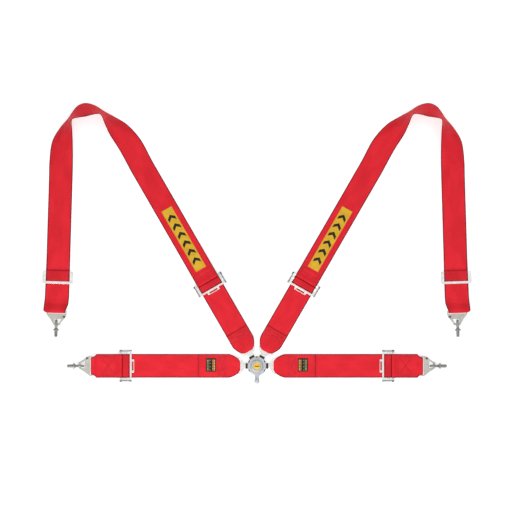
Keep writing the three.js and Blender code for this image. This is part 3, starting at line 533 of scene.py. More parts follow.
def wire_section(bm: bmesh.types.BMesh, radius: float, thick: float, sides: int) -> list[object]:
    """A wire's round section, upright at a distance from Z, as what a spin takes."""
    upright = Matrix.Translation((radius, 0, 0)) @ Matrix.Rotation(math.pi / 2, 4, "X")
    bmesh.ops.create_circle(bm, cap_ends=False, segments=sides, radius=thick, matrix=upright)
    return bm.verts[:] + bm.edges[:]


def finished_mesh(bm: bmesh.types.BMesh, name: str, where: Matrix) -> bpy.types.Mesh:
    """The mesh of a finished piece in metres, its faces outwards, and frees what it was built in.

    Args:
        bm: the piece as built, in millimetres.
        name: the mesh's name.
        where: its place in the harness, in millimetres.

    Returns:
        The mesh.
    """
    bm.transform(Matrix.Scale(MM, 4) @ where)
    if where.determinant() < 0:
        bmesh.ops.reverse_faces(bm, faces=bm.faces[:])
    for face in bm.faces:
        face.smooth = True
    mesh = bpy.data.meshes.new(name)
    bm.to_mesh(mesh)
    bm.free()
    return mesh


def linked(name: str, mesh: bpy.types.Mesh, look: bpy.types.Material) -> bpy.types.Object:
    """A new object of a mesh, dressed and added to the scene."""
    mesh.materials.append(look)
    piece = bpy.data.objects.new(name, mesh)
    bpy.context.scene.collection.objects.link(piece)
    return piece


class Shape:
    """A mesh being built in millimetres, by pieces that are each made with mesh operators."""

    def __init__(self) -> None:
        """Starts an empty shape."""
        self.bm = bmesh.new()

    def take(self, part: bmesh.types.BMesh, where: Matrix | None = None) -> "Shape":
        """Adds a part's faces and frees it.

        Args:
            part: the part to add.
            where: how to place it first.

        Returns:
            The shape itself.
        """
        if where is not None:
            part.transform(where)
        holder = bpy.data.meshes.new("part")
        part.to_mesh(holder)
        part.free()
        self.bm.from_mesh(holder)
        bpy.data.meshes.remove(holder)
        return self

    def edged(self, part: bmesh.types.BMesh, width: float, angle: float = 35.0) -> bmesh.types.BMesh:
        """Rounds a part's sharp edges, unless the width is nought.

        Args:
            part: the part.
            width: of the rounding.
            angle: the least angle of an edge that is rounded, in degrees.

        Returns:
            The part.
        """
        if width > 0:
            bevelled(part, width, angle)
        return part

    def plate(self, outline: list[Point], low: float, high: float, holes: list[list[Point]] | None = None,
              edge: float = 0.4, where: Matrix | None = None) -> "Shape":
        """A flat plate of an outline, with holes and rounded edges.

        Args:
            outline: its corners in XY.
            low: its underside's height.
            high: its top's height.
            holes: outlines of the holes.
            edge: the width of the rounding.
            where: how to place it.

        Returns:
            The shape itself.
        """
        part = bmesh.new()
        for points in [outline, *(holes or [])]:
            ring = [part.verts.new((x, y, low)) for x, y in points]
            for first, second in zip(ring, ring[1:] + ring[:1]):
                part.edges.new((first, second))
        bmesh.ops.triangle_fill(part, edges=part.edges[:], use_beauty=True, use_dissolve=False)
        bmesh.ops.dissolve_limit(part, angle_limit=FLAT_ANGLE, verts=part.verts[:], edges=part.edges[:])
        grown = bmesh.ops.extrude_face_region(part, geom=part.faces[:])["geom"]
        tops = [v for v in grown if isinstance(v, bmesh.types.BMVert)]
        bmesh.ops.translate(part, vec=(0, 0, high - low), verts=tops)
        bmesh.ops.recalc_face_normals(part, faces=part.faces[:])
        return self.take(self.edged(part, edge), where)

    def turned(self, profile: list[Point], segments: int = 48, where: Matrix | None = None) -> "Shape":
        """A round part spun about Z from a profile of radius and height.

        Args:
            profile: the points, from the axis to the axis, or closed by its first point.
            segments: steps round the axis.
            where: how to place it.

        Returns:
            The shape itself.
        """
        part = bmesh.new()
        ring = [part.verts.new((r, 0, z)) for r, z in profile]
        edges = [part.edges.new(pair) for pair in zip(ring, ring[1:])]
        spun(part, ring + edges, FULL_TURN, segments)
        bmesh.ops.remove_doubles(part, verts=part.verts[:], dist=0.001)
        bmesh.ops.recalc_face_normals(part, faces=part.faces[:])
        return self.take(part, where)

    def block(self, low: tuple[float, float, float], high: tuple[float, float, float], edge: float = 0.4,
              where: Matrix | None = None) -> "Shape":
        """A block between two corners with rounded edges.

        Args:
            low: its lowest corner.
            high: its highest corner.
            edge: the width of the rounding.
            where: how to place it.

        Returns:
            The shape itself.
        """
        part = bmesh.new()
        bmesh.ops.create_cube(part, size=1.0)
        size = [b - a for a, b in zip(low, high)]
        bmesh.ops.scale(part, vec=size, verts=part.verts[:])
        bmesh.ops.translate(part, vec=[(a + b) / 2 for a, b in zip(low, high)], verts=part.verts[:])
        return self.take(self.edged(part, edge), where)

    def rod(self, radius: float, start: tuple[float, float, float], end: tuple[float, float, float],
            edge: float = 0.4, segments: int = 24, tip: float | None = None) -> "Shape":
        """A rod or a cone between two points.

        Args:
            radius: at the start.
            start: the middle of its first end.
            end: the middle of its last end.
            edge: the width of the rounding at its ends.
            segments: faces round it.
            tip: the radius at the end, where it differs.

        Returns:
            The shape itself.
        """
        part = bmesh.new()
        first, last = Vector(start), Vector(end)
        along = last - first
        bmesh.ops.create_cone(part, cap_ends=True, cap_tris=False, segments=segments, radius1=radius,
                              radius2=radius if tip is None else tip, depth=along.length)
        turn = along.to_track_quat("Z", "Y").to_matrix().to_4x4()
        self.edged(part, edge, 50.0)
        return self.take(part, Matrix.Translation((first + last) / 2) @ turn)

    def hoop(self, radius: float, thick: float, where: Matrix, segments: int = 48) -> "Shape":
        """A round ring of round section about Z.

        Args:
            radius: to the middle of its section.
            thick: the section's radius.
            where: how to place it.
            segments: steps round the ring.

        Returns:
            The shape itself.
        """
        part = bmesh.new()
        spun(part, wire_section(part, radius, thick, 20), FULL_TURN, segments)
        bmesh.ops.recalc_face_normals(part, faces=part.faces[:])
        return self.take(part, where)

    def helix(self, radius: float, wire: float, rise: float, turns: float, where: Matrix | None = None,
              segments: int = 20, sides: int = 8) -> "Shape":
        """A helix of wire about Z, closed at both ends.

        Args:
            radius: to the wire's middle.
            wire: the wire's radius.
            rise: how far it climbs in a turn.
            turns: how many there are.
            where: how to place it.
            segments: steps in a turn.
            sides: faces round the wire.

        Returns:
            The shape itself.
        """
        part = bmesh.new()
        steps = max(2, round(segments * turns))
        spun(part, wire_section(part, radius, wire, sides), FULL_TURN * turns, steps, rise * turns / steps)
        bmesh.ops.holes_fill(part, edges=[e for e in part.edges if e.is_boundary], sides=sides)
        bmesh.ops.recalc_face_normals(part, faces=part.faces[:])
        return self.take(part, where)

    def placed(self, name: str, where: Matrix, look: bpy.types.Material,
               smooth: float = SMOOTH_ANGLE) -> bpy.types.Object:
        """The finished piece, in metres in the harness's frame, its object at the origin.

        Args:
            name: the piece's name.
            where: its place in the harness, in millimetres.
            look: its material.
            smooth: the angle up to which neighbouring faces shade as one surface, in degrees.

        Returns:
            The object.
        """
        mesh = finished_mesh(self.bm, name, where)
        mesh.set_sharp_from_angle(angle=math.radians(smooth))
        return linked(name, mesh, look)


def weighted(piece: bpy.types.Object) -> bpy.types.Object:
    """Lets a machined piece's flat faces shade flat up to their rounded edges."""
    modifier = piece.modifiers.new("flat_faces", "WEIGHTED_NORMAL")
    modifier.keep_sharp = True
    return piece


def carved(piece: bpy.types.Object, tools: list[bpy.types.Object], edge: float) -> bpy.types.Object:
    """A piece with other shapes cut from it and its new edges rounded.

    Args:
        piece: the piece to cut.
        tools: the shapes to take away, which are removed afterwards.
        edge: the width of the rounding, in millimetres.

    Returns:
        The piece.
    """
    for tool in tools:
        modifier = piece.modifiers.new(tool.name, "BOOLEAN")
        modifier.operation = "DIFFERENCE"
        modifier.solver = "EXACT"
        modifier.object = tool
    ready = piece.evaluated_get(bpy.context.evaluated_depsgraph_get())
    cut = bpy.data.meshes.new_from_object(ready)
    piece.modifiers.clear()
    old = piece.data
    piece.data = cut
    bpy.data.meshes.remove(old)
    for tool in tools:
        bpy.data.objects.remove(tool)
    bm = bmesh.new()
    bm.from_mesh(cut)
    bmesh.ops.remove_doubles(bm, verts=bm.verts[:], dist=0.00001)
    bmesh.ops.dissolve_limit(bm, angle_limit=FLAT_ANGLE, verts=bm.verts[:], edges=bm.edges[:])
    bevelled(bm, edge * MM, 32.0)
    for face in bm.faces:
        face.smooth = True
    bm.to_mesh(cut)
    bm.free()
    cut.set_sharp_from_angle(angle=math.radians(SMOOTH_ANGLE))
    return piece


def along_strap(angle: float, distance: float = 0.0) -> Matrix:
    """The frame of a strap that leaves the buckle at an angle in degrees, moved out along it."""
    return Matrix.Rotation(math.radians(angle), 4, "Z") @ Matrix.Translation((distance, 0, 0))


def settled(piece: bpy.types.Object, body: str, slot: str, *nodes: str) -> bpy.types.Object:
    """Hands a finished piece to the frame and logs it.

    Args:
        piece: the piece.
        body: the body that it moves with.
        slot: the record's material slot; not used.
        nodes: the frame's nodes that it stands for.

    Returns:
        The piece.
    """
    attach(piece, body)
    if nodes:
        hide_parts(*nodes)
    LOG.info("%s: %d faces on %s", piece.name, len(piece.data.polygons), body)
    return piece


# ---------------------------------------------------------------- webbing


@dataclass(frozen=True)
class Stack:
    """Thickness of a ply and the heights of the plies' middles where they lie on each other."""

    thick: float = 1.5
    width: float = 75.0
    tail: float = 0.75
    run: float = 2.75
    sewn: float = 4.55
    over: float = 4.75
    over_top: float = 6.55

    def top(self, middle: float) -> float:
        """The height of the upper face of a ply."""
        return middle + self.thick / 2


STACK = Stack()


def between(knots: list[Point], x: float) -> float:
    """The value at a place on straight stretches between knots.

    Args:
        knots: pairs of place and value, in order.
        x: the place.

    Returns:
        The value there.
    """
    if x <= knots[0][0]:
        return knots[0][1]
    for (x0, v0), (x1, v1) in zip(knots, knots[1:]):
        if x <= x1:
            return v0 + (v1 - v0) * (x - x0) / (x1 - x0)
    return knots[-1][1]


def resampled(sections: list[Section], step: float) -> list[Section]:
    """Sections at even distances along a path.

    Args:
        sections: the path's sections.
        step: the distance to aim for.

    Returns:
        The even sections, both ends kept.
    """
    middles = [(a + b) / 2 for a, b in sections]
    reached = [0.0]
    for first, second in zip(middles, middles[1:]):
        reached.append(reached[-1] + (second - first).length)
    count = max(2, round(reached[-1] / step))
    even, k = [], 0
    for i in range(count + 1):
        target = reached[-1] * i / count
        while k + 2 < len(reached) and reached[k + 1] < target:
            k += 1
        share = (target - reached[k]) / max(reached[k + 1] - reached[k], 1e-9)
        (a0, b0), (a1, b1) = sections[k], sections[k + 1]
        even.append((a0.lerp(a1, min(share, 1.0)), b0.lerp(b1, min(share, 1.0))))
    return even


def relaxed(sections: list[Section], rounds: int) -> list[Section]:
    """Sections with the corners of their path rounded.

    Args:
        sections: even sections.
        rounds: how many times each is drawn halfway to its neighbours.

    Returns:
        The smoother sections, both ends kept.
    """
    for _ in range(rounds):
        inner = [
            tuple((before[k] + after[k]) / 4 + here[k] / 2 for k in (0, 1))
            for before, here, after in zip(sections, sections[1:], sections[2:])
        ]
        sections = [sections[0], *inner, sections[-1]]
    return sections


def curve_point(points: list[Vector], share: float) -> Vector:
    """A point on a centripetal Catmull-Rom curve.

    Args:
        points: what the curve passes through.
        share: how far along, counted in points, from 0 to 1.

    Returns:
        The point.
    """
    place = share * (len(points) - 1)
    k = min(int(place), len(points) - 2)
    t = place - k
    p1, p2 = points[k], points[k + 1]
    p0 = points[k - 1] if k else 2 * p1 - p2
    p3 = points[k + 2] if k + 2 < len(points) else 2 * p2 - p1
    d0, d1, d2 = ((b - a).length ** 0.5 for a, b in ((p0, p1), (p1, p2), (p2, p3)))
    m1 = ((p1 - p0) / d0 - (p2 - p0) / (d0 + d1) + (p2 - p1) / d1) * d1
    m2 = ((p2 - p1) / d1 - (p3 - p1) / (d1 + d2) + (p3 - p2) / d2) * d1
    ends = (2 * t**3 - 3 * t**2 + 1) * p1 + (t**3 - 2 * t**2 + t) * m1
    return ends + (3 * t**2 - 2 * t**3) * p2 + (t**3 - t**2) * m2


def straight_sections(path: list[Point], half: float | list[Point]) -> list[Section]:
    """Sections of a strap that runs straight out from the buckle.

    Args:
        path: distance and height of the ply's middle.
        half: half its width, or knots of distance and half-width.

    Returns:
        The sections in the strap's frame.
    """
    made = []
    for x, z in path:
        reach = between(half, x) if isinstance(half, list) else half
        made.append((Vector((x, reach, z)), Vector((x, -reach, z))))
    return made


def bridged(start: float, end: float, top: float) -> list[Point]:
    """The path of a band of webbing that rises, runs level over a bar and comes down again.

    Args:
        start: where it rises.
        end: where it comes down.
        top: the height of its middle over the bar.

    Returns:
        Distance and height of its middle.
    """
    foot, corner = 3.9, 2.4
    return [(start, foot), *arc(start + corner, top - corner, corner, 180, 90, 5),
            *arc(end - corner, top - corner, corner, 90, 0, 5), (end, foot)]


@dataclass
class Ply:
    """One length of webbing along its path."""

    name: str
    sections: list[Section]
    thick: float = STACK.thick
    step: float = 1.6
    columns: int = 16
    rounds: int = 3
    ripple: float = 0.0
    widths: list[Point] | None = None
    length: float = field(init=False, default=0.0)

    def mesh_piece(self, where: Matrix, look: bpy.types.Material) -> bpy.types.Object:
        """The webbing as a woven sheet with its thickness.

        Args:
            where: the place of the path's frame, in millimetres.
            look: the material, which reads the weave map.

        Returns:
            The piece.
        """
        rows = relaxed(resampled(self.sections, self.step), self.rounds)
        middles = [(a + b) / 2 for a, b in rows]
        if self.widths:
            rows = straight_sections([(middle.x, middle.z) for middle in middles], self.widths)
        reached = [0.0]
        for first, second in zip(middles, middles[1:]):
            reached.append(reached[-1] + (second - first).length)
        self.length = reached[-1]
        bm = bmesh.new()
        bmesh.ops.create_grid(bm, x_segments=self.columns, y_segments=len(rows) - 1, size=0.5)
        weave = bm.loops.layers.uv.new(WEAVE_MAP)
        edge = bm.verts.layers.float.new(EDGE_ATTRIBUTE)
        flat = {}
        for vert in bm.verts:
            row = round((vert.co.y + 0.5) * (len(rows) - 1))
            share = 0.5 + 0.5 * math.sin(math.pi * vert.co.x)
            first, last = rows[row]
            wide = (last - first).length
            flat[vert.index] = ((share - 0.5) * wide, reached[row])
            # Cut ends darken like the selvedges: partly a sealed end's colour, partly painted shade where
            # the ply ends
            cut = min(reached[row], reached[-1] - reached[row]) + CUT_END_FADE
            vert[edge] = min(share * wide, (1 - share) * wide, cut)
            vert.co = first.lerp(last, share)
            if self.ripple:
                along = middles[min(row + 1, len(rows) - 1)] - middles[max(row - 1, 0)]
                up = along.cross(last - first).normalized()
                lift = noise.noise(Vector((reached[row] / 34, share * 2.2, len(self.name))))
                vert.co += up * lift * self.ripple
        for face in bm.faces:
            face.smooth = True
            for corner in face.loops:
                corner[weave].uv = flat[corner.vert.index]
        bm.transform(Matrix.Scale(MM, 4) @ where)
        mesh = bpy.data.meshes.new(self.name)
        bm.to_mesh(mesh)
        bm.free()
        piece = linked(self.name, mesh, look)
        body = piece.modifiers.new("thickness", "SOLIDIFY")
        body.thickness = self.thick * MM
        body.offset = 0.0
        body.use_even_offset = True
        rim = piece.modifiers.new("selvedge", "BEVEL")
        rim.limit_method = "ANGLE"
        rim.angle_limit = math.radians(60)
        rim.width = self.thick * MM * 0.3
        rim.segments = 2
        return piece


class Stitching:
    """Lock stitches laid on a surface, each a small sunk capsule."""

    ROW_GAP = 2.4
    CROSS_ASIDE = 1.3

    def __init__(self, length: float = 3.3, pitch: float = 4.1, thick: float = 1.15) -> None:
        """Starts with no stitches.

        Args:
            length: of one stitch.
            pitch: from one to the next.
            thick: the thread's width.
        """
        self.length = length
        self.pitch = pitch
        self.thick = thick
        self.bm = bmesh.new()

    def line(self, points: list[tuple[float, float, float]]) -> None:
        """Sews along straight stretches between points, in millimetres."""
        for start, end in zip(points, points[1:]):
            first, last = Vector(start), Vector(end)
            run = last - first
            count = max(1, round(run.length / self.pitch))
            heading = run.to_track_quat("X", "Z").to_matrix().to_4x4()
            size = Matrix.Diagonal((self.length / 2, self.thick / 2, self.thick * 0.36, 1.0))
            for i in range(count):
                middle = first.lerp(last, (i + 0.5) / count)
                bmesh.ops.create_icosphere(self.bm, subdivisions=1, radius=1.0,
                                           matrix=Matrix.Translation(middle) @ heading @ size)

    def inset(self, x: Point, y: Point, row: int) -> tuple[float, float, float, float]:
        """The ends and the sides of a rectangle that lies some rows further in."""
        gap = self.ROW_GAP * row
        return x[0] + gap, x[1] - gap, y[0] + gap, y[1] - gap

    def box(self, x: Point, y: Point, z: float, crossed: bool = False, rows: int = 1) -> None:
        """Sews a rectangle, and its diagonals if it is crossed.

        Args:
            x: its two ends.
            y: its two sides.
            z: the surface's height.
            crossed: whether to sew the diagonals.
            rows: how many rectangles lie inside each other.
        """
        for k in range(rows):
            x0, x1, y0, y1 = self.inset(x, y, k)
            self.line([(x0, y0, z), (x1, y0, z), (x1, y1, z), (x0, y1, z), (x0, y0, z)])
        if crossed:
            x0, x1, y0, y1 = self.inset(x, y, rows)
            for aside in (-self.CROSS_ASIDE, self.CROSS_ASIDE):
                self.line([(x0 + aside, y0, z), (x1 + aside, y1, z)])
                self.line([(x0 + aside, y1, z), (x1 + aside, y0, z)])

    def placed(self, name: str, where: Matrix, look: bpy.types.Material) -> bpy.types.Object:
        """The stitches as one piece.

        Args:
            name: the piece's name.
            where: the place of the strap's frame, in millimetres.
            look: the thread.

        Returns:
            The piece.
        """
        return linked(name, finished_mesh(self.bm, name, where), look)


# ---------------------------------------------------------------- buckle


@dataclass
class Buckle:
    """The rotary buckle: back plate, housing with six ports, and the moulded liner with its guards."""

    looks: Finishes
    radius: float = 30.5
    plate_top: float = 4.0
    top: float = 19.0
    hub: float = 18.5
    port_half: float = 10.0
    port_top: float = 13.0
    chamber: float = 24.0
    chamber_top: float = 15.5
    guard_half: float = 8.6
    guard_reach: float = 36.0
    used_ports: tuple[float, ...] = (0.0, 60.0, 120.0, 180.0)

    def tool(self, shape: Shape, name: str, angle: float) -> bpy.types.Object:
        """A shape to cut the housing with, turned to a port's angle in degrees."""
        return shape.placed(name, along_strap(angle), self.looks["satin_alloy"])

    def housing(self) -> None:
        """The round shell with its six ports, the notches between them and the recess round the hub."""
        low = self.plate_top + 0.3
        rim = arc(self.radius - 3.2, self.top - 3.6, 3.2, 0, 78, 6)
        profile = [
            (self.chamber, low), (self.radius - 0.6, low), (self.radius, low + 0.6),
            *rim,
            (self.hub + 3.4, self.top - 0.05), (self.hub + 2.6, self.top - 0.5),
            (self.hub + 1.6, self.top - 0.5), (self.hub + 0.9, self.top), (7.3, self.top),
            (7.3, self.chamber_top), (self.chamber, self.chamber_top), (self.chamber, low),
        ]
        shell = Shape().turned(profile, 96).placed("buckle_shell", Matrix(), self.looks["satin_alloy"])
        tools = []
        for k in range(6):
            port = Shape().block((self.chamber - 3, -self.port_half, low - 1),
                                 (self.radius + 5, self.port_half, self.port_top), 0.0)
            tools.append(self.tool(port, f"port_{k}", 60 * k))
            notch = Shape().plate([(25.5, 0.0), (self.radius + 4, -9.5), (self.radius + 4, 9.5)],
                                  self.port_top - 5, self.top + 1, edge=0.0)
            tools.append(self.tool(notch, f"notch_{k}", 60 * k + 30))
        carved(shell, tools, 0.35)
        settled(weighted(shell), "buckle", "alloy", "buckle_housing")

    def back_plate(self) -> None:
        """The dished back plate, with the three rivets that hold it to the housing."""
        shape = Shape()
        shape.turned([
            (0, 0.6), (6, 0.6), (8, 0.0), (self.radius - 3, 0.0), (self.radius - 1.2, 0.5),
            (self.radius - 0.5, 1.5), (self.radius - 0.5, self.plate_top - 0.4),
            (self.radius - 0.9, self.plate_top), (0, self.plate_top),
        ], 96)
        for k in range(3):
            spot = along_strap(90 + 120 * k, self.radius - 5)
            shape.turned([(0, 0.15), (2.2, 0.15), (2.6, 0.5), (2.6, 1.4), (0, 1.4)], 20, spot)
        plate = shape.placed("buckle_base", Matrix(), self.looks["plain_steel"])
        settled(weighted(plate), "buckle", "alloy", "buckle_back_plate")

    def liner(self) -> None:
        """The black liner: a floor under the tongues, a flared guard round each port in use, and black
        wedges on the notches' floors as painted shade.
        """
        low, floor, way_top = self.plate_top + 0.3, 6.7, 10.4
        shape = Shape().turned([(6, low), (self.chamber - 0.5, low), (self.chamber - 0.5, floor), (6, floor),
                                (6, low)], 48)
        half, inner = self.guard_half, self.guard_half - 1.3
        lip = self.guard_reach - 1.6
        for angle in self.used_ports:
            where = along_strap(angle)
            for back, wide in ((self.chamber - 1.4, 0.0), (lip, 0.55)):
                front = self.guard_reach if wide else lip + 0.3
                for side in (-1, 1):
                    y0, y1 = sorted((side * inner, side * (half + wide)))
                    shape.block((back, y0, low), (front, y1, way_top + 1.6 + wide), 0.35, where)
                shape.block((back, -inner, way_top), (front, inner, way_top + 1.6 + wide), 0.35, where)
                shape.block((back, -inner, low), (front, inner, floor), 0.3, where)
        # Black wedges on the floors of the notches between the ports: painted shade, dark pads where the
        # notches are only in shade
        notch_floor = self.port_top - 5
        for k in range(6):
            notch_shade = [(26.2, 0.0), (self.radius - 0.5, -4.1), (self.radius - 0.5, 4.1)]
            turn = along_strap(60 * k + 30)
            shape.plate(notch_shade, notch_floor + 0.05, notch_floor + 1.2, edge=0.15, where=turn)
        liner = shape.placed("port_guards_and_notch_shade", Matrix(), self.looks["black_plastic"])
        settled(weighted(liner), "buckle", "black_plastic", "port_liner")

    def build(self) -> None:
        """Builds the buckle's fixed pieces."""
        self.housing()
        self.back_plate()
        self.liner()


@dataclass
class Lever:
    """The release lever with its hub, arm and knob, and the badge set in the hub."""

    looks: Finishes
    low: float = 19.3
    height: float = 6.2
    hub: float = 18.5
    badge: float = 11.0
    reach: float = 48.0
    knob: float = 8.5

    def lever(self) -> None:
        """The hub, with a groove round the badge, and the arm that swells into the knob."""
        high = self.low + self.height
        shape = Shape()
        shape.turned([
            (4.3, self.low), (self.hub - 0.6, self.low), (self.hub, self.low + 0.6), (self.hub, high - 1.9),
            (self.hub - 0.35, high - 1.1), (self.hub - 1.2, high - 0.4), (self.hub - 2.4, high - 0.05),
            (self.badge + 2.2, high), (self.badge + 1.4, high - 0.5), (self.badge + 0.9, high - 0.1),
            (self.badge + 0.3, high - 0.2), (self.badge + 0.3, high - 1.5), (6.3, high - 1.5),
            (6.3, self.low + 2.6), (4.3, self.low + 2.6), (4.3, self.low),
        ], 96)
        outline = [
            (-10.6, -13.6), (-9.6, -18.5), (-8.3, -24), (-7.4, -30), (-6.9, -36), (-6.8, -41),
            (-7, -self.reach), (7, -self.reach), (6.8, -41), (6.9, -36), (7.4, -30), (8.3, -24),
            (9.6, -18.5), (10.6, -13.6),
        ]
        shape.plate(outline, self.low, high - 1.1, edge=0.7)
        ridge = [(-3.2, -16.5), (-2.4, -30), (-2.2, -42), (2.2, -42), (2.4, -30), (3.2, -16.5)]
        shape.plate(ridge, high - 1.6, high - 0.9, edge=0.2)
        shape.turned([
            (0, self.low), (self.knob - 1.2, self.low), (self.knob - 0.3, self.low + 0.8),
            (self.knob, self.low + 2),
            (self.knob, high - 1.4), (self.knob - 0.5, high - 0.2), (self.knob - 1.7, high + 0.7),
            (self.knob - 3.6, high + 1.3), (0, high + 1.55),
        ], 48, Matrix.Translation((0, -self.reach, 0)))
        lever = shape.placed("buckle_lever", Matrix(), self.looks["bright_alloy"], 32)
        settled(weighted(lever), "lever", "alloy", "release_lever")

    def badge_pieces(self) -> None:
        """The enamelled disc and the plain raised bar on it."""
        low = self.low + self.height - 1.2
        disc = Shape().turned([
            (0, low), (self.badge - 0.2, low), (self.badge, low + 0.3), (self.badge, low + 1.1),
            (self.badge - 0.4, low + 1.45), (self.badge - 1.3, low + 1.6), (self.badge - 1.9, low + 1.4),
            (self.badge - 2.5, low + 1.55), (0, low + 1.75),
        ], 72).placed("badge_disc", Matrix(), self.looks["yellow_enamel"], 32)
        settled(disc, "lever", "yellow_badge", "lever_badge")
        bar = Shape()
        bar.plate(rounded_bar(7.2, 1.9, 1.2, 0.0, -0.6), low + 1.5, low + 1.9, edge=0.12)
        mark = bar.placed("badge_bar", Matrix(), self.looks["amber_enamel"])
        settled(mark, "lever", "yellow_badge")

    def build(self) -> None:
        """Builds the lever and its badge."""
        self.lever()
        self.badge_pieces()


# ---------------------------------------------------------------- hardware on each strap


@dataclass
class Tongue:
    """The stamped tongue that enters a port, with the slot that the webbing is folded through."""

    looks: Finishes
    low: float = 7.0
    high: float = 10.0
    blade: float = 6.8
    slot_in: float = 50.5
    slot_out: float = 57.0
    end: float = 63.0
    wide: float = 26.5

    def build(self, name: str, where: Matrix, body: str) -> None:
        """Builds one tongue.

        Args:
            name: the strap's name.
            where: the strap's frame.
            body: what it moves with.
        """
        half = [(14, self.blade - 2), (16, self.blade), (35, self.blade), (37.5, 7.5), (40, 9.3), (43, 12.2),
                (46, 16.5), (49, 21.2), (51.5, self.wide - 1.6), (54, self.wide), (self.end - 3, self.wide),
                (self.end - 0.9, self.wide - 0.9), (self.end, self.wide - 3)]
        outline = [(x, -y) for x, y in half] + [(x, y) for x, y in reversed(half)]
        slot_half = self.wide - 4.5
        slot = [(self.slot_in, -slot_half + 2), (self.slot_out, -slot_half), (self.slot_out, slot_half),
                (self.slot_in, slot_half - 2)]
        shape = Shape().plate(outline, self.low, self.high, [slot, ring_of(18.5, 0, 3.2)], 0.55)
        tongue = shape.placed(f"tongue_plate_{name}", where, self.looks["bright_steel"])
        settled(weighted(tongue), body, "steel", f"tongue_{name}")


@dataclass
class Adjuster:
    """A webbing adjuster: two cheeks, a front bar with a pull tab, a ridged lock bar and a rear bar."""

    looks: Finishes
    cheek_in: float = 45.5
    cheek_out: float = 49.5
    bar_low: float = 4.0
    bar_high: float = 8.0
    rear_at: float = REAR_BAR
    rear_z: float = 8.9
    lock_at: float = 17.0
    lock_low: float = 5.6
    lock_thick: float = 5.0
    band_half: float = 37.2

    def frame(self, name: str, where: Matrix, body: str) -> None:
        """The frame of cheeks and bars.

        Args:
            name: the strap's name.
            where: the adjuster's frame, X from the front bar.
            body: what it moves with.
        """
        shape, cheeks, ends, knobs = Shape(), Shape(), Shape(), Shape()
        cheek = [
            (-4, 1.5), (-2.6, 0.1), (35.2, 0.1), (36, 1.2), (36, 11), (33.4, 13.9), (24, 12.4), (14, 12.2),
            (5, 12.9), (-4, 9.9),
        ]
        slot = rounded_bar(4.4, 2.2, 1.0, self.lock_at, self.lock_low + 2.5)
        for side in (-1, 1):
            inner, outer = sorted((side * (self.cheek_in + 0.4), side * (self.cheek_out - 0.4)))
            cheeks.plate(cheek, -outer, -inner, [slot], 0.5, UPRIGHT)
            for x, z, boss in ((0.0, 6.0, ends), (self.rear_at, self.rear_z, knobs)):
                boss.rod(3.5, (x, side * self.cheek_in, z), (x, side * (self.cheek_out + 1.4), z), 0.7)
            inner, outer = sorted((side * (self.cheek_in - 1), side * self.cheek_out))
            ends.block((-3.8, inner, 2.2), (8.5, outer, 10.4), 1.0)
            knobs.block((28.6, inner, 1.4), (35.4, outer, 12.6), 1.6)
        shape.block((-3, -self.cheek_in - 1, self.bar_low), (3, self.cheek_in + 1, self.bar_high), 1.0)
        rear = (self.rear_at, self.cheek_in + 1, self.rear_z)
        shape.rod(3.0, (self.rear_at, -self.cheek_in - 1, self.rear_z), rear)
        tab = [(-9, -21), *arc(-9, -19, 2, -90, -180, 4)[1:], *arc(-9, 19, 2, 180, 90, 4), (0, 21), (0, -21)]
        shape.plate(tab, 5.0, 7.0, [rounded_bar(2.35, 14.5, 1.6, -6.3, 0.0)], 0.6)
        piece = shape.placed(f"adjuster_body_{name}", where, self.looks["bright_steel"])
        settled(weighted(piece), body, "steel", f"adjuster_frame_{name}")
        for kind, part, look in (("cheeks", cheeks, "plain_steel"), ("ends", ends, "zinc_plate"),
                                 ("knobs", knobs, "dark_steel")):
            bosses = part.placed(f"adjuster_{kind}_{name}", where, self.looks[look])
            settled(weighted(bosses), body, "steel")

    def lock_bar(self, name: str, where: Matrix, body: str) -> None:
        """The sliding lock bar, ridged where it bites the webbing.

        Args:
            name: the strap's name.
            where: the adjuster's frame.
            body: what it moves with.
        """
        high = self.lock_low + self.lock_thick
        half = 5.0
        ridges = []
        for k in range(5):
            x = half - 1.2 - 1.9 * k
            ridges += [(x, high), (x - 0.95, high - 0.55)]
        profile = [(-half, self.lock_low), (half, self.lock_low), (half, high - 1.0), *ridges,
                   (-half, high - 1.0)]
        outline = [(self.lock_at + x, z) for x, z in profile]
        reach, shoulder = self.cheek_out + 0.7, 39.0
        bar = Shape().plate(outline, -shoulder, shoulder, edge=0.12, where=UPRIGHT)
        tenon = rounded_bar(2.6, 1.8, 0.8, self.lock_at, self.lock_low + 2.5)
        bar.plate(tenon, -reach, reach, edge=0.3, where=UPRIGHT)
        piece = bar.placed(f"lock_bar_ridged_{name}", where, self.looks["bright_steel"])
        settled(weighted(piece), body, "steel", f"lock_bar_{name}")

    def band(self, name: str, where: Matrix, body: str) -> bpy.types.Object:
        """The webbing that runs over the lock bar.

        Args:
            name: the strap's name.
            where: the adjuster's frame.
            body: what it moves with.

        Returns:
            The band.
        """
        sections = straight_sections(bridged(7.4, 25.1, 11.85), self.band_half)
        ply = Ply(f"webbing_over_lock_bar_{name}", sections, step=0.9, rounds=2)
        # The band wears the darker copy of the webbing: painted shade
        piece = ply.mesh_piece(where, self.looks["red_webbing_band_shaded"])
        settled(piece, body, "red_webbing", f"adjuster_bight_{name}")
        return piece


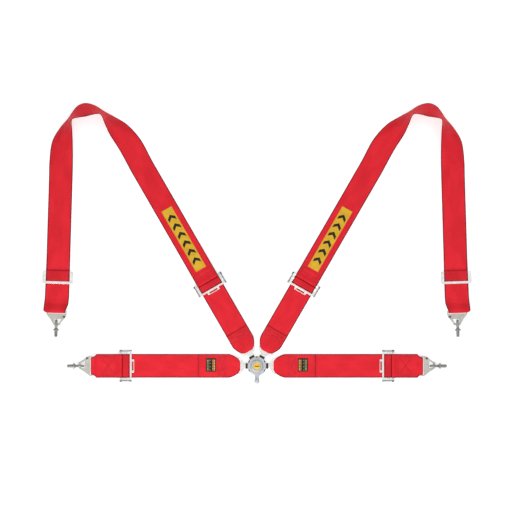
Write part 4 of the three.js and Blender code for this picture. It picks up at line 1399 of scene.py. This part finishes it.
@dataclass
class TailSlide:
    """The three-bar slide on a shoulder tail and the webbing that runs over its bars."""

    looks: Finishes
    centre: float = -108.0
    half_length: float = 20.0
    half_width: float = 48.8
    side: float = 5.5
    low: float = 4.0
    high: float = 7.0

    def build(self, side: Side, where: Matrix) -> None:
        """Builds the slide and its band of webbing.

        Args:
            side: which shoulder.
            where: the tail's frame, X from the hook's bar.
        """
        word, body = side.word, f"slide_shoulder_{side.word}"
        inner = self.half_width - self.side
        windows = []
        for start, end in ((3.0, 12.0), (-12.0, -3.0)):
            middle, half = self.centre + (start + end) / 2, (end - start) / 2
            windows.append(rounded_bar(half, inner, 1.2, middle, 0.0))
        outline = rounded_bar(self.half_length, self.half_width, 4.0, self.centre, 0.0)
        plate = Shape().plate(outline, self.low, self.high, windows, 0.9)
        piece = plate.placed(f"slide_plate_{word}", where, self.looks["bright_steel"])
        settled(weighted(piece), body, "steel", f"tail_slide_{word}")
        sections = straight_sections(bridged(-129.8, -98.2, 8.25), STACK.width / 2)
        ply = Ply(f"webbing_over_slide_{word}", sections, step=0.9, rounds=2)
        # The band wears the darker copy of the webbing: painted shade
        band = ply.mesh_piece(where, self.looks["red_webbing_band_shaded"])
        settled(band, body, "red_webbing", f"tail_bight_{word}")


@dataclass
class SnapHook:
    """A stamped snap hook with its sprung gate and rivet, and the eyebolt that it holds."""

    looks: Finishes
    middle: float = 13.2
    thick: float = 3.5
    ring_at: float = 40.0
    ring: float = 11.0
    section: float = 4.0
    ring_z: float = 15.0
    shank: float = 5.55
    collar: float = 10.0
    collar_face: float = 60.5
    tip: float = 80.5
    pivot: Point = (16.5, 24.0)
    gate_tip: Point = (37.5, 11.0)
    thread_pitch: float = 1.27

    @staticmethod
    def leaf(outline: list[Point], low: float, high: float, holes: list[list[Point]], edge: float,
             hand: int) -> Shape:
        """A plate cut for one hand, its faces outwards.

        Args:
            outline: drawn for the mouth on the +Y side.
            low: its underside.
            high: its top.
            holes: outlines of the holes.
            edge: rounding of its edges.
            hand: +1 for the mouth on the +Y side.

        Returns:
            The shape.
        """
        shape = Shape().plate(outline, low, high, holes, edge, Matrix.Diagonal((1, hand, 1, 1)))
        if hand < 0:
            bmesh.ops.reverse_faces(shape.bm, faces=shape.bm.faces[:])
        return shape

    def hook(self, name: str, where: Matrix, hand: int) -> None:
        """The plate with its slot and its mouth.

        Args:
            name: the strap's name.
            where: the hook's frame, X from its bar.
            hand: +1 for the mouth on the +Y side.
        """
        low = self.middle - self.thick / 2
        px, py = self.pivot
        outline = [
            (-2.4, -32), (8, -32), (11.5, -30.2), (24, -20), (36, -12.5), *arc(40, -5, 4, -60, 0, 5),
            *arc(40, 9.5, 4, 0, 90, 6), (36.6, 13.5), (36, 12), (36, -4), *arc(34, -4.2, 2, 0, -90, 4),
            *arc(26, -4.2, 2, -90, -180, 4), (24, 8), (24, 14), *arc(px, py, 5, -20, 60, 7), (10, 32),
            (-2.4, 32), (-3, 31.4), (-3, -31.4),
        ]
        slot = rounded_bar(2.0, 28.2, 1.5, 5.0, 0.0)
        rivet = ring_of(px, py, 2.4, 20)
        shape = self.leaf(outline, low, low + self.thick, [slot, rivet], 0.7, hand)
        piece = shape.placed(f"hook_plate_{name}", where, self.looks["zinc_plate"])
        settled(weighted(piece), f"hook_{name}", "zinc_plate", f"snap_hook_{name}")

    def gate(self, name: str, where: Matrix, hand: int) -> None:
        """The gate and its rivet.

        Args:
            name: the strap's name.
            where: the hook's frame.
            hand: +1 for the mouth on the +Y side.
        """
        low = self.middle + self.thick / 2 + 0.3
        (px, py), (tx, ty) = self.pivot, self.gate_tip
        heading = math.degrees(math.atan2(ty - py, tx - px))
        outline = [*arc(px, py, 4.6, heading + 70, heading + 290, 16),
                   *arc(tx, ty, 2.5, heading - 90, heading + 90, 8)]
        shape = self.leaf(outline, low, low + 2.0, [ring_of(px, py, 2.4, 20)], 0.45, hand)
        gate = shape.placed(f"gate_leaf_{name}", where, self.looks["zinc_plate"])
        settled(weighted(gate), f"gate_{name}", "zinc_plate", f"hook_gate_{name}")
        plate_low, top = self.middle - self.thick / 2, low + 2.0
        head = Shape().turned([
            (0, plate_low - 1.6), (2.2, plate_low - 1.5), (3.3, plate_low - 1.1), (3.8, plate_low - 0.3),
            (2.1, plate_low - 0.3), (2.1, top + 0.3), (3.8, top + 0.3), (3.7, top + 0.8), (3.0, top + 1.35),
            (1.6, top + 1.65), (0, top + 1.7),
        ], 32, Matrix.Translation((px, py * hand, 0)))
        rivet = head.placed(f"rivet_{name}", where, self.looks["dark_steel"])
        settled(weighted(rivet), f"hook_{name}", "dark_steel", f"gate_rivet_{name}")

    def eyebolt(self, name: str, where: Matrix) -> None:
        """The forged eyebolt: ring, neck, seat collar and threaded shank.

        Args:
            name: the strap's name.
            where: the hook's frame.
        """
        upright = Matrix.Translation((self.ring_at, 0, self.ring_z)) @ Matrix.Rotation(math.pi / 2, 4, "X")
        shape = Shape().hoop(self.ring, self.section - 0.05, upright)
        outward = Matrix.Translation((0, 0, self.ring_z)) @ Matrix.Rotation(math.pi / 2, 4, "Y")
        neck = self.ring_at + self.ring + 1.5
        root = self.shank - 0.75
        shape.turned([
            (0, neck), (self.shank + 0.6, neck), (self.shank - 0.3, neck + 2),
            (self.shank, self.collar_face - 6),
            (self.collar - 2.2, self.collar_face - 4.3), (self.collar - 0.6, self.collar_face - 3.2),
            (self.collar, self.collar_face - 2.4), (self.collar, self.collar_face - 0.4),
            (self.collar - 0.4, self.collar_face), (self.shank, self.collar_face),
            (self.shank, self.collar_face + 1),
            (root, self.collar_face + 1.8), (root, self.tip - 1.2), (root - 0.9, self.tip), (0, self.tip),
        ], 40, outward)
        thread_start = self.collar_face + 2.2
        turns = (self.tip - 1.4 - thread_start) / self.thread_pitch
        start = outward @ Matrix.Translation((0, 0, thread_start))
        shape.helix(root - 0.05, 0.62, self.thread_pitch, turns, start, 18, 6)
        bolt = shape.placed(f"eyebolt_forged_{name}", where, self.looks["forged_steel"])
        settled(weighted(bolt), f"eyebolt_{name}", "dark_steel", f"eyebolt_{name}")

    def build(self, name: str, where: Matrix, hand: int) -> None:
        """Builds the hook, its gate and its eyebolt."""
        self.hook(name, where, hand)
        self.gate(name, where, hand)
        self.eyebolt(name, where)


# ---------------------------------------------------------------- straps


@dataclass
class InnerStrap:
    """The strap from a sewn end, round the tongue, out to the adjuster and back beneath as a tail."""

    looks: Finishes
    seam: float
    adjuster: float
    tail: float
    box: tuple[Point, Point]

    def path(self) -> list[Point]:
        """Distance and height of the ply's middle from its sewn end to its free tail."""
        turn = self.adjuster + 57.5
        s = STACK
        return [
            (self.seam, s.sewn), (min(130.0, self.seam - 4), s.sewn), (95, s.sewn), (87.5, s.sewn + 1.7),
            (66, 11.25),
            *arc(55.5, 8.5, 2.75, 90, 270, 8), (66, 5.75), (87.5, s.run + 0.8), (95, s.run),
            *arc(turn - 1, (s.run + s.tail) / 2, 1.0, 90, -90, 6), (turn - self.tail, s.tail),
        ]

    def build(self, piece_name: str, node: str, where: Matrix, body: str) -> bpy.types.Object:
        """Builds the strap with its rounded tip and its stitching.

        Args:
            piece_name: the strap's name.
            node: the frame's node it stands for.
            where: the strap's frame.
            body: what it moves with.

        Returns:
            The strap.
        """
        half = STACK.width / 2
        taper = [(52.2, 8.0), (53, 12.0), (54, 15.0), (56, 18.6), (58, 21.4), (60, 23.6), (63, 26.0),
                 (66, 28.0), (70, 30.3), (75, 33.0), (80, 35.1), (84, 36.4), (88, half - 0.3), (92, half)]
        ply = Ply(piece_name, straight_sections(self.path(), taper), ripple=0.1, widths=taper)
        strap = ply.mesh_piece(where, self.looks["red_webbing"])
        settled(strap, body, "red_webbing", node)
        sewing = Stitching()
        top = STACK.top(STACK.sewn) + STITCH_LIFT
        (x0, x1), (y0, y1) = self.box
        sewing.box((x0, x1), (y0, y1), top, crossed=True, rows=2)
        for inset in (3.0, 5.6):
            sewing.line([(self.seam - inset, -half + 3, top), (self.seam - inset, half - 3, top)])
        thread = sewing.placed(f"{piece_name}_stitches", where, self.looks["red_thread"])
        settled(thread, body, "red_webbing")
        return strap


@dataclass
class LapEnd:
    """The short doubled strap between a lap adjuster and its snap hook, sewn with a box and cross."""

    looks: Finishes
    hook: float = LAP_HOOK
    rear: float = LAP_ADJUSTER + REAR_BAR

    def build(self, name: str, where: Matrix, body: str) -> None:
        """Builds the strap end.

        Args:
            name: the side's name.
            where: the strap's frame.
            body: what it moves with.
        """
        s, half = STACK, STACK.width / 2
        path = [
            (self.rear + 14.5, s.over), (self.rear + 58, s.over), (self.hook - 14, s.over + 0.6),
            (self.hook - 5, 7.88), *arc(self.hook, 13.2, 4.72, -90, 90, 8), (self.hook - 5, 16.7),
            (self.hook - 14, s.over_top + 4.2), (self.rear + 58, s.over_top), (self.rear + 16, s.over_top),
            *arc(self.rear, 8.9, 4.15, 90, 270, 10), (self.rear + 13, s.over),
        ]
        steps = [(-13.5, half), (-11.5, half - 1.2), (-9.5, 33.2), (-6.5, 31.0), (-3.5, 28.8), (-2, 27.6),
                 (5, 27.0)]
        taper = [(self.hook + x, reach) for x, reach in steps]
        ply = Ply(f"lap_end_webbing_{name}", straight_sections(path, taper), ripple=0.08, widths=taper)
        strap = ply.mesh_piece(where, self.looks["red_webbing"])
        settled(strap, body, "red_webbing", f"lap_outer_webbing_{name}")
        sewing = Stitching()
        top = s.top(s.over_top) + STITCH_LIFT
        sewing.box((448, 497), (-31, 31), top, crossed=True, rows=2)
        for x in (440.0, 442.6, 501.5):
            sewing.line([(x, -33, top), (x, 33, top)])
        thread = sewing.placed(f"lap_end_stitches_{name}", where, self.looks["red_thread"])
        settled(thread, body, "red_webbing")


@dataclass
class ShoulderStrap:
    """The long shoulder strap: doubled at the adjuster, turned back at the shoulder and down to its hook."""

    looks: Finishes
    angle: float = SHOULDER_ANGLE
    rear: float = SHOULDER_ADJUSTER + REAR_BAR
    hook: Point = (636.0, 173.0)
    tail_top: Point = (623.5, 599.0)
    turn_start: float = 730.0
    stations: tuple[tuple[float, float, float, float], ...] = (
        (404, 704, -30, 8), (441, 752, -34, 35), (466, 779, -38, 60), (490, 803, -52, 78),
        (518, 812, -84, 64), (544, 813, -100, 53), (563, 807, -114, 57), (580, 794, -138, 70),
        (591, 785, -150, 77),
        (606, 749, -169, 53), (617, 711, -174, 27), (622, 652, -177, 5),
    )

    def tail_heading(self) -> float:
        """The tail's direction towards its hook, in degrees."""
        return math.degrees(math.atan2(self.hook[1] - self.tail_top[1], self.hook[0] - self.tail_top[0]))

    def edges_at(self, x: float, y: float, across: float, lean: float) -> Section:
        """The two edges of the strap where its lower edge rests on the floor.

        Args:
            x: the strap's middle.
            y: the strap's middle.
            across: the direction across the webbing, in degrees.
            lean: how far that direction is raised, in degrees.

        Returns:
            The section.
        """
        a, tilt = math.radians(across), math.radians(lean)
        level = math.cos(tilt)
        reach = Vector((math.cos(a) * level, math.sin(a) * level, math.sin(tilt))) * STACK.width / 2
        middle = Vector((x, y, reach.z + STACK.thick / 2 * math.cos(tilt)))
        return middle - reach, middle + reach

    def on_diagonal(self, r: float, z: float) -> Section:
        """A level section across the diagonal at a distance from the buckle."""
        a = math.radians(self.angle)
        first, last = self.edges_at(r * math.cos(a), r * math.sin(a), self.angle - 90, 0)
        first.z = last.z = z
        return first, last

    def on_tail(self, at: float, z: float, outer: float, inner: float) -> Section:
        """A level section across the tail.

        Args:
            at: the distance from the hook's bar, negative up the strap.
            z: the height.
            outer: half the width on the outer side.
            inner: half the width on the inner side.

        Returns:
            The section.
        """
        a = math.radians(self.tail_heading())
        along, side = Vector((math.cos(a), math.sin(a), 0)), Vector((-math.sin(a), math.cos(a), 0))
        middle = Vector((*self.hook, z)) + along * at
        return middle + side * outer, middle - side * inner

    def sections(self) -> list[Section]:
        """The whole strap's sections, for the right shoulder."""
        s, half = STACK, STACK.width / 2
        start = [(self.rear + 80, s.over), (self.rear + 14.5, s.over),
                 *arc(self.rear, 8.9, 4.15, 270, 90, 10), (self.rear + 16, s.over_top),
                 (self.rear + 81.5, s.over_top), (self.rear + 126.5, s.tail),
                 (650.0, s.tail)]
        made = [self.on_diagonal(r, z) for r, z in start]
        a = math.radians(self.angle)
        first = (self.turn_start * math.cos(a), self.turn_start * math.sin(a))
        knots = [self.edges_at(*first, self.angle - 90, 0)]
        knots += [self.edges_at(*station) for station in self.stations]
        length = math.dist(self.hook, self.tail_top)
        knots.append(self.on_tail(-length, s.tail, half, half))
        edges = [[knot[k] for knot in knots] for k in (0, 1)]
        count = 12 * (len(knots) - 1)
        made += [tuple(curve_point(edge, i / count) for edge in edges) for i in range(count + 1)]
        outer = [(-110, half), (-40, half + 2), (0, half + 5), (4, 30)]
        inner = [(-45, half), (-25, half - 1.5), (-8, 30), (-1, 27)]
        tail = [(-length + 70, s.tail), (-268, s.run), (-110, s.run), (-40, s.run), (-25, s.run + 2.6),
                (-8, 15.72), *arc(0, 13.2, 4.72, 90, -90, 8), (-8, 6.88), (-25, s.tail), (-45, s.tail),
                (-183, s.tail)]
        made += [self.on_tail(at, z, between(outer, at), between(inner, at)) for at, z in tail]
        return made

    def build(self, side: Side) -> None:
        """Builds the strap of one shoulder, its stitching and its label.

        Args:
            side: which shoulder.
        """
        word, body = side.word, f"adjuster_shoulder_{side.word}"
        mirror = Matrix.Diagonal((side.hand, 1, 1, 1))
        ply = Ply(f"shoulder_webbing_{word}", self.sections(), step=2.0, ripple=0.12)
        strap = ply.mesh_piece(mirror, self.looks["red_webbing"])
        settled(strap, body, "red_webbing", f"shoulder_upper_webbing_{word}")
        diagonal = mirror @ along_strap(self.angle)
        sewing = Stitching()
        top = STACK.top(STACK.over_top) + STITCH_LIFT
        sewing.box((self.rear + 19, self.rear + 36), (-30, 30), top, rows=2)
        thread = sewing.placed(f"shoulder_stitches_{word}", diagonal, self.looks["red_thread"])
        settled(thread, body, "red_webbing")
        ShoulderLabel(self.looks).build(word, body, diagonal, self.rear)


@dataclass
class ShoulderLabel:
    """The long woven label on a shoulder strap, with a row of plain chevrons."""

    looks: Finishes
    start: float = 355.0
    end: float = 576.0
    half: float = 18.5
    thick: float = 0.8
    chevrons: int = 6

    def surface(self, rear: float, r: float) -> float:
        """The height of the label's middle at a distance from the buckle."""
        rise = STACK.thick / 2 + 0.2 + self.thick / 2
        knots = [(rear + 81.5, STACK.over_top), (rear + 88, STACK.over_top - 0.45),
                 (rear + 120, STACK.tail + 0.45), (rear + 126.5, STACK.tail)]
        return between(knots, r) + rise

    def build(self, word: str, body: str, where: Matrix, rear: float) -> None:
        """Builds the label, its edge stitching and its chevrons.

        Args:
            word: the side's name.
            body: what it moves with.
            where: the strap's frame.
            rear: the distance of the adjuster's rear bar.
        """
        stops = [self.start + (self.end - self.start) * i / 60 for i in range(61)]
        path = [(r, self.surface(rear, r)) for r in stops]
        ply = Ply(f"shoulder_label_cloth_{word}", straight_sections(path, self.half), self.thick, 2.2, 8)
        label = ply.mesh_piece(where, self.looks["yellow_cloth"])
        settled(label, body, "yellow_label", f"shoulder_label_{word}")
        sewing = Stitching(3.4, 3.1, 1.6)
        lift = self.thick / 2 + 0.05
        inset = 1.3
        for y in (-self.half + inset, self.half - inset):
            sewing.line([(r, y, self.surface(rear, r) + lift) for r in stops[1:-1:6] + [stops[-2]]])
        for r in (self.start + inset, self.end - inset):
            z = self.surface(rear, r) + lift
            sewing.line([(r, -self.half + inset, z), (r, self.half - inset, z)])
        thread = sewing.placed(f"shoulder_label_stitches_{word}", where, self.looks["amber_thread"])
        settled(thread, body, "yellow_label")
        print_shape = Shape()
        pitch = (self.end - self.start - 34) / self.chevrons
        for k in range(self.chevrons):
            x = self.start + 17 + pitch * (k + 0.5)
            slope = math.atan2(self.surface(rear, x - 9) - self.surface(rear, x + 9), 18)
            tilt = Matrix.Translation((x, 0, self.surface(rear, x))) @ Matrix.Rotation(slope, 4, "Y")
            chevron = [(11, 0), (0, 13), (-11, 13), (0, 0), (-11, -13), (0, -13)]
            print_shape.plate(chevron, lift - 0.2, lift + 0.17, edge=0.1, where=tilt)
        marks = print_shape.placed(f"shoulder_label_print_{word}", where, self.looks["black_print"])
        settled(marks, body, "yellow_label")


@dataclass
class LapLabel:
    """The small black label on a lap strap, with plain blocks and bars printed on it."""

    looks: Finishes
    start: float = 130.0
    end: float = 162.0
    low: float = -18.0
    high: float = 24.0
    floor: float = 5.6
    thick: float = 0.8

    def blocks(self, hand: int) -> dict[str, list[tuple[float, float, float, float]]]:
        """Each print's blocks as their lowest and highest corners in XY.

        Args:
            hand: +1 where the strap's +Y is the harness's +Y.

        Returns:
            The blocks by finish.
        """
        rows = [sorted(((self.low + 3.4 + 5.1 * k) * hand, (self.low + 6.9 + 5.1 * k) * hand))
                for k in range(7)]
        khaki = [(153.6, y0, 158.6, y1) for y0, y1 in rows]
        khaki += [(147.6, y0, 149.8, y1) for y0, y1 in rows[::2]]
        moss = [(150.6, y0, 152.8, y1) for y0, y1 in rows]
        amber = [(138.6, y0, 141.4, y1) for y0, y1 in rows]
        salmon = [(133.0, y0, 137.6, y1) for y0, y1 in rows]
        return {"khaki_print": khaki, "moss_print": moss, "amber_print": amber, "salmon_print": salmon}

    def build(self, side: Side, where: Matrix, body: str) -> None:
        """Builds one label.

        Args:
            side: which lap strap.
            where: the strap's frame.
            body: what it moves with.
        """
        word, hand = side.word, side.hand
        low, high = sorted((self.low * hand, self.high * hand))
        middle, half = (low + high) / 2, (high - low) / 2
        path = [(x, self.floor + self.thick / 2 - 0.1) for x in (self.start, self.end)]
        aside = Vector((0, middle, 0))
        sections = [(a + aside, b + aside) for a, b in straight_sections(path, half)]
        ply = Ply(f"lap_label_cloth_{word}", sections, self.thick, 2.0, 10)
        label = ply.mesh_piece(where, self.looks["black_cloth"])
        settled(label, body, "black_label", f"lap_label_{word}")
        top = self.floor + self.thick - 0.08
        pieces = []
        for finish, spots in self.blocks(hand).items():
            shape = Shape()
            for x0, y0, x1, y1 in spots:
                shape.block((x0, y0, top - 0.1), (x1, y1, top + 0.16), 0.07)
            pieces.append(shape.placed(f"lap_label_{finish}_{word}", where, self.looks[finish]))
            settled(pieces[-1], body, "black_label")
        sewing = Stitching(2.4, 3.2, 0.7)
        sewing.box((self.start + 1.2, self.end - 1.2), (low + 1.2, high - 1.2), top + 0.02)
        thread = sewing.placed(f"lap_label_stitches_{word}", where, self.looks["black_thread"])
        settled(thread, body, "black_label")


class Harness:
    """The whole harness, strap by strap."""

    def __init__(self, looks: Finishes) -> None:
        """Keeps the finishes.

        Args:
            looks: the finishes that every piece is dressed in.
        """
        self.looks = looks
        self.tongue = Tongue(looks)
        self.adjuster = Adjuster(looks)
        self.snap_hook = SnapHook(looks)

    def adjuster_set(self, name: str, where: Matrix) -> None:
        """An adjuster's frame, lock bar and band of webbing.

        Args:
            name: the strap's name.
            where: the adjuster's frame.
        """
        self.adjuster.frame(name, where, f"adjuster_{name}")
        self.adjuster.lock_bar(name, where, f"lock_{name}")
        self.adjuster.band(name, where, f"adjuster_{name}")

    def lap(self, side: Side) -> None:
        """A lap strap from its tongue to its eyebolt."""
        word, name = side.word, f"lap_{side.word}"
        where = along_strap(0.0 if side is Side.RIGHT else 180.0)
        body = "strap_lap_right" if side is Side.RIGHT else "buckle"
        self.tongue.build(name, where, body)
        inner = InnerStrap(self.looks, 187.0, LAP_ADJUSTER, 190.0, ((98.0, 124.0), (-30.0, 30.0)))
        inner.build(f"lap_webbing_{word}", f"lap_inner_webbing_{word}", where, body)
        LapLabel(self.looks).build(side, where, body)
        self.adjuster_set(name, where @ Matrix.Translation((LAP_ADJUSTER, 0, 0)))
        LapEnd(self.looks).build(word, where, f"adjuster_{name}")
        self.snap_hook.build(name, where @ Matrix.Translation((LAP_HOOK, 0, 0)), side.hand)

    def shoulder(self, side: Side) -> None:
        """A shoulder strap from its tongue to its eyebolt."""
        word, name = side.word, f"shoulder_{side.word}"
        where = along_strap(SHOULDER_ANGLE if side is Side.RIGHT else 180.0 - SHOULDER_ANGLE)
        body = f"strap_{name}"
        self.tongue.build(name, where, body)
        lower = InnerStrap(self.looks, 129.0, SHOULDER_ADJUSTER, 170.0, ((97.0, 120.0), (-30.0, 30.0)))
        lower.build(f"shoulder_lower_strap_{word}", f"shoulder_lower_webbing_{word}", where, body)
        self.adjuster_set(name, where @ Matrix.Translation((SHOULDER_ADJUSTER, 0, 0)))
        strap = ShoulderStrap(self.looks)
        strap.build(side)
        heading = strap.tail_heading()
        turn = heading if side is Side.RIGHT else 180.0 - heading
        spot = Matrix.Translation((strap.hook[0] * side.hand, strap.hook[1], 0))
        tail = spot @ Matrix.Rotation(math.radians(turn), 4, "Z")
        TailSlide(self.looks).build(side, tail)
        self.snap_hook.build(name, tail, -side.hand)

    def hidden(self) -> None:
        """Dresses the frame's own nodes that stay: the buckle's works."""
        works = {"latch_ring": "plain_steel", "cam_sleeve": "plain_steel", "pivot_bolt": "dark_steel",
                 "lever_return_spring": "plain_steel", "captive_pin": "plain_steel"}
        for node, finish in works.items():
            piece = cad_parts[node]
            piece.data.materials.clear()
            piece.data.materials.append(self.looks[finish])
            LOG.info("%s: dressed in %s", node, finish)

    def build(self) -> None:
        """Builds every piece."""
        Buckle(self.looks).build()
        Lever(self.looks).build()
        for side in Side:
            self.lap(side)
            self.shoulder(side)
        self.hidden()


# ---------------------------------------------------------------- studio


@dataclass(frozen=True)
class Studio:
    """A pale floor, soft light from all round, and a camera straight above."""

    middle: Point = (-0.0029, 0.3492)
    height: float = 10.0
    width: float = 1.628
    sensor: float = 36.0
    low_glow: float = 0.16
    high_glow: float = 0.92
    floor_half: float = 12.0
    floor_drop: float = 0.0004
    key_power: float = 22.0
    fill_power: float = 6.0

    def camera(self) -> None:
        """The overhead camera."""
        data = bpy.data.cameras.new("overhead")
        data.sensor_width = self.sensor
        data.lens = self.sensor * self.height / self.width
        data.clip_start, data.clip_end = 0.05, 100.0
        camera = bpy.data.objects.new("overhead", data)
        camera.location = (*self.middle, self.height)
        bpy.context.scene.collection.objects.link(camera)
        bpy.context.scene.camera = camera

    def floor(self) -> None:
        """The floor, pale enough to burn out to white under the lights."""
        bm = bmesh.new()
        bmesh.ops.create_grid(bm, x_segments=1, y_segments=1, size=self.floor_half)
        bmesh.ops.translate(bm, vec=(0, 0, -self.floor_drop), verts=bm.verts[:])
        mesh = bpy.data.meshes.new("floor")
        bm.to_mesh(mesh)
        bm.free()
        s = Shading("pale_floor")
        s.plain(Base_Color=(0.7, 0.7, 0.7, 1.0), Roughness=0.9, Specular_IOR_Level=0.1,
                Emission_Color=(1.0, 1.0, 1.0, 1.0), Emission_Strength=0.56)
        linked("floor", mesh, s.material)

    def light(self, name: str, place: tuple[float, float, float], aim: tuple[float, float, float],
              size: float, power: float) -> None:
        """One soft square light that the camera doesn't see.

        Args:
            name: its name.
            place: where it hangs.
            aim: what it points at.
            size: its side.
            power: in watts.
        """
        data = bpy.data.lights.new(name, "AREA")
        data.shape = "SQUARE"
        data.size = size
        data.energy = power
        light = bpy.data.objects.new(name, data)
        light.location = place
        light.rotation_euler = (Vector(aim) - Vector(place)).to_track_quat("-Z", "Y").to_euler()
        light.visible_camera = False
        bpy.context.scene.collection.objects.link(light)

    def surroundings(self) -> None:
        """The light room round the object, bright overhead and dim at the sides."""
        world = bpy.data.worlds.new("light_room")
        world.use_nodes = True
        tree = world.node_tree
        back = tree.nodes["Background"]
        back.inputs["Color"].default_value = (1.0, 1.0, 1.0, 1.0)
        direction = tree.nodes.new("ShaderNodeTexCoord")
        split = tree.nodes.new("ShaderNodeSeparateXYZ")
        tree.links.new(direction.outputs["Generated"], split.inputs["Vector"])
        rise = tree.nodes.new("ShaderNodeMapRange")
        rise.interpolation_type = "SMOOTHSTEP"
        tree.links.new(split.outputs["Z"], rise.inputs["Value"])
        rise.inputs["From Min"].default_value = 0.1
        rise.inputs["From Max"].default_value = 0.9
        rise.inputs["To Min"].default_value = self.low_glow
        rise.inputs["To Max"].default_value = self.high_glow
        tree.links.new(rise.outputs["Result"], back.inputs["Strength"])
        bpy.context.scene.world = world

    def build(self) -> None:
        """Sets up the studio."""
        self.camera()
        self.floor()
        self.surroundings()
        self.light("key", (-0.35, -1.3, 1.3), (0.0, 0.2, 0.0), 1.1, self.key_power)
        self.light("fill", (1.6, 1.7, 1.8), (0.0, 0.4, 0.0), 1.6, self.fill_power)
        bpy.context.scene.view_settings.view_transform = "Standard"


def main() -> None:
    """Builds the studio and the harness."""
    logging.basicConfig(level=logging.INFO, format="%(name)s %(message)s")
    Studio().build()
    Harness(Finishes()).build()


if __name__ == "__main__":
    main()
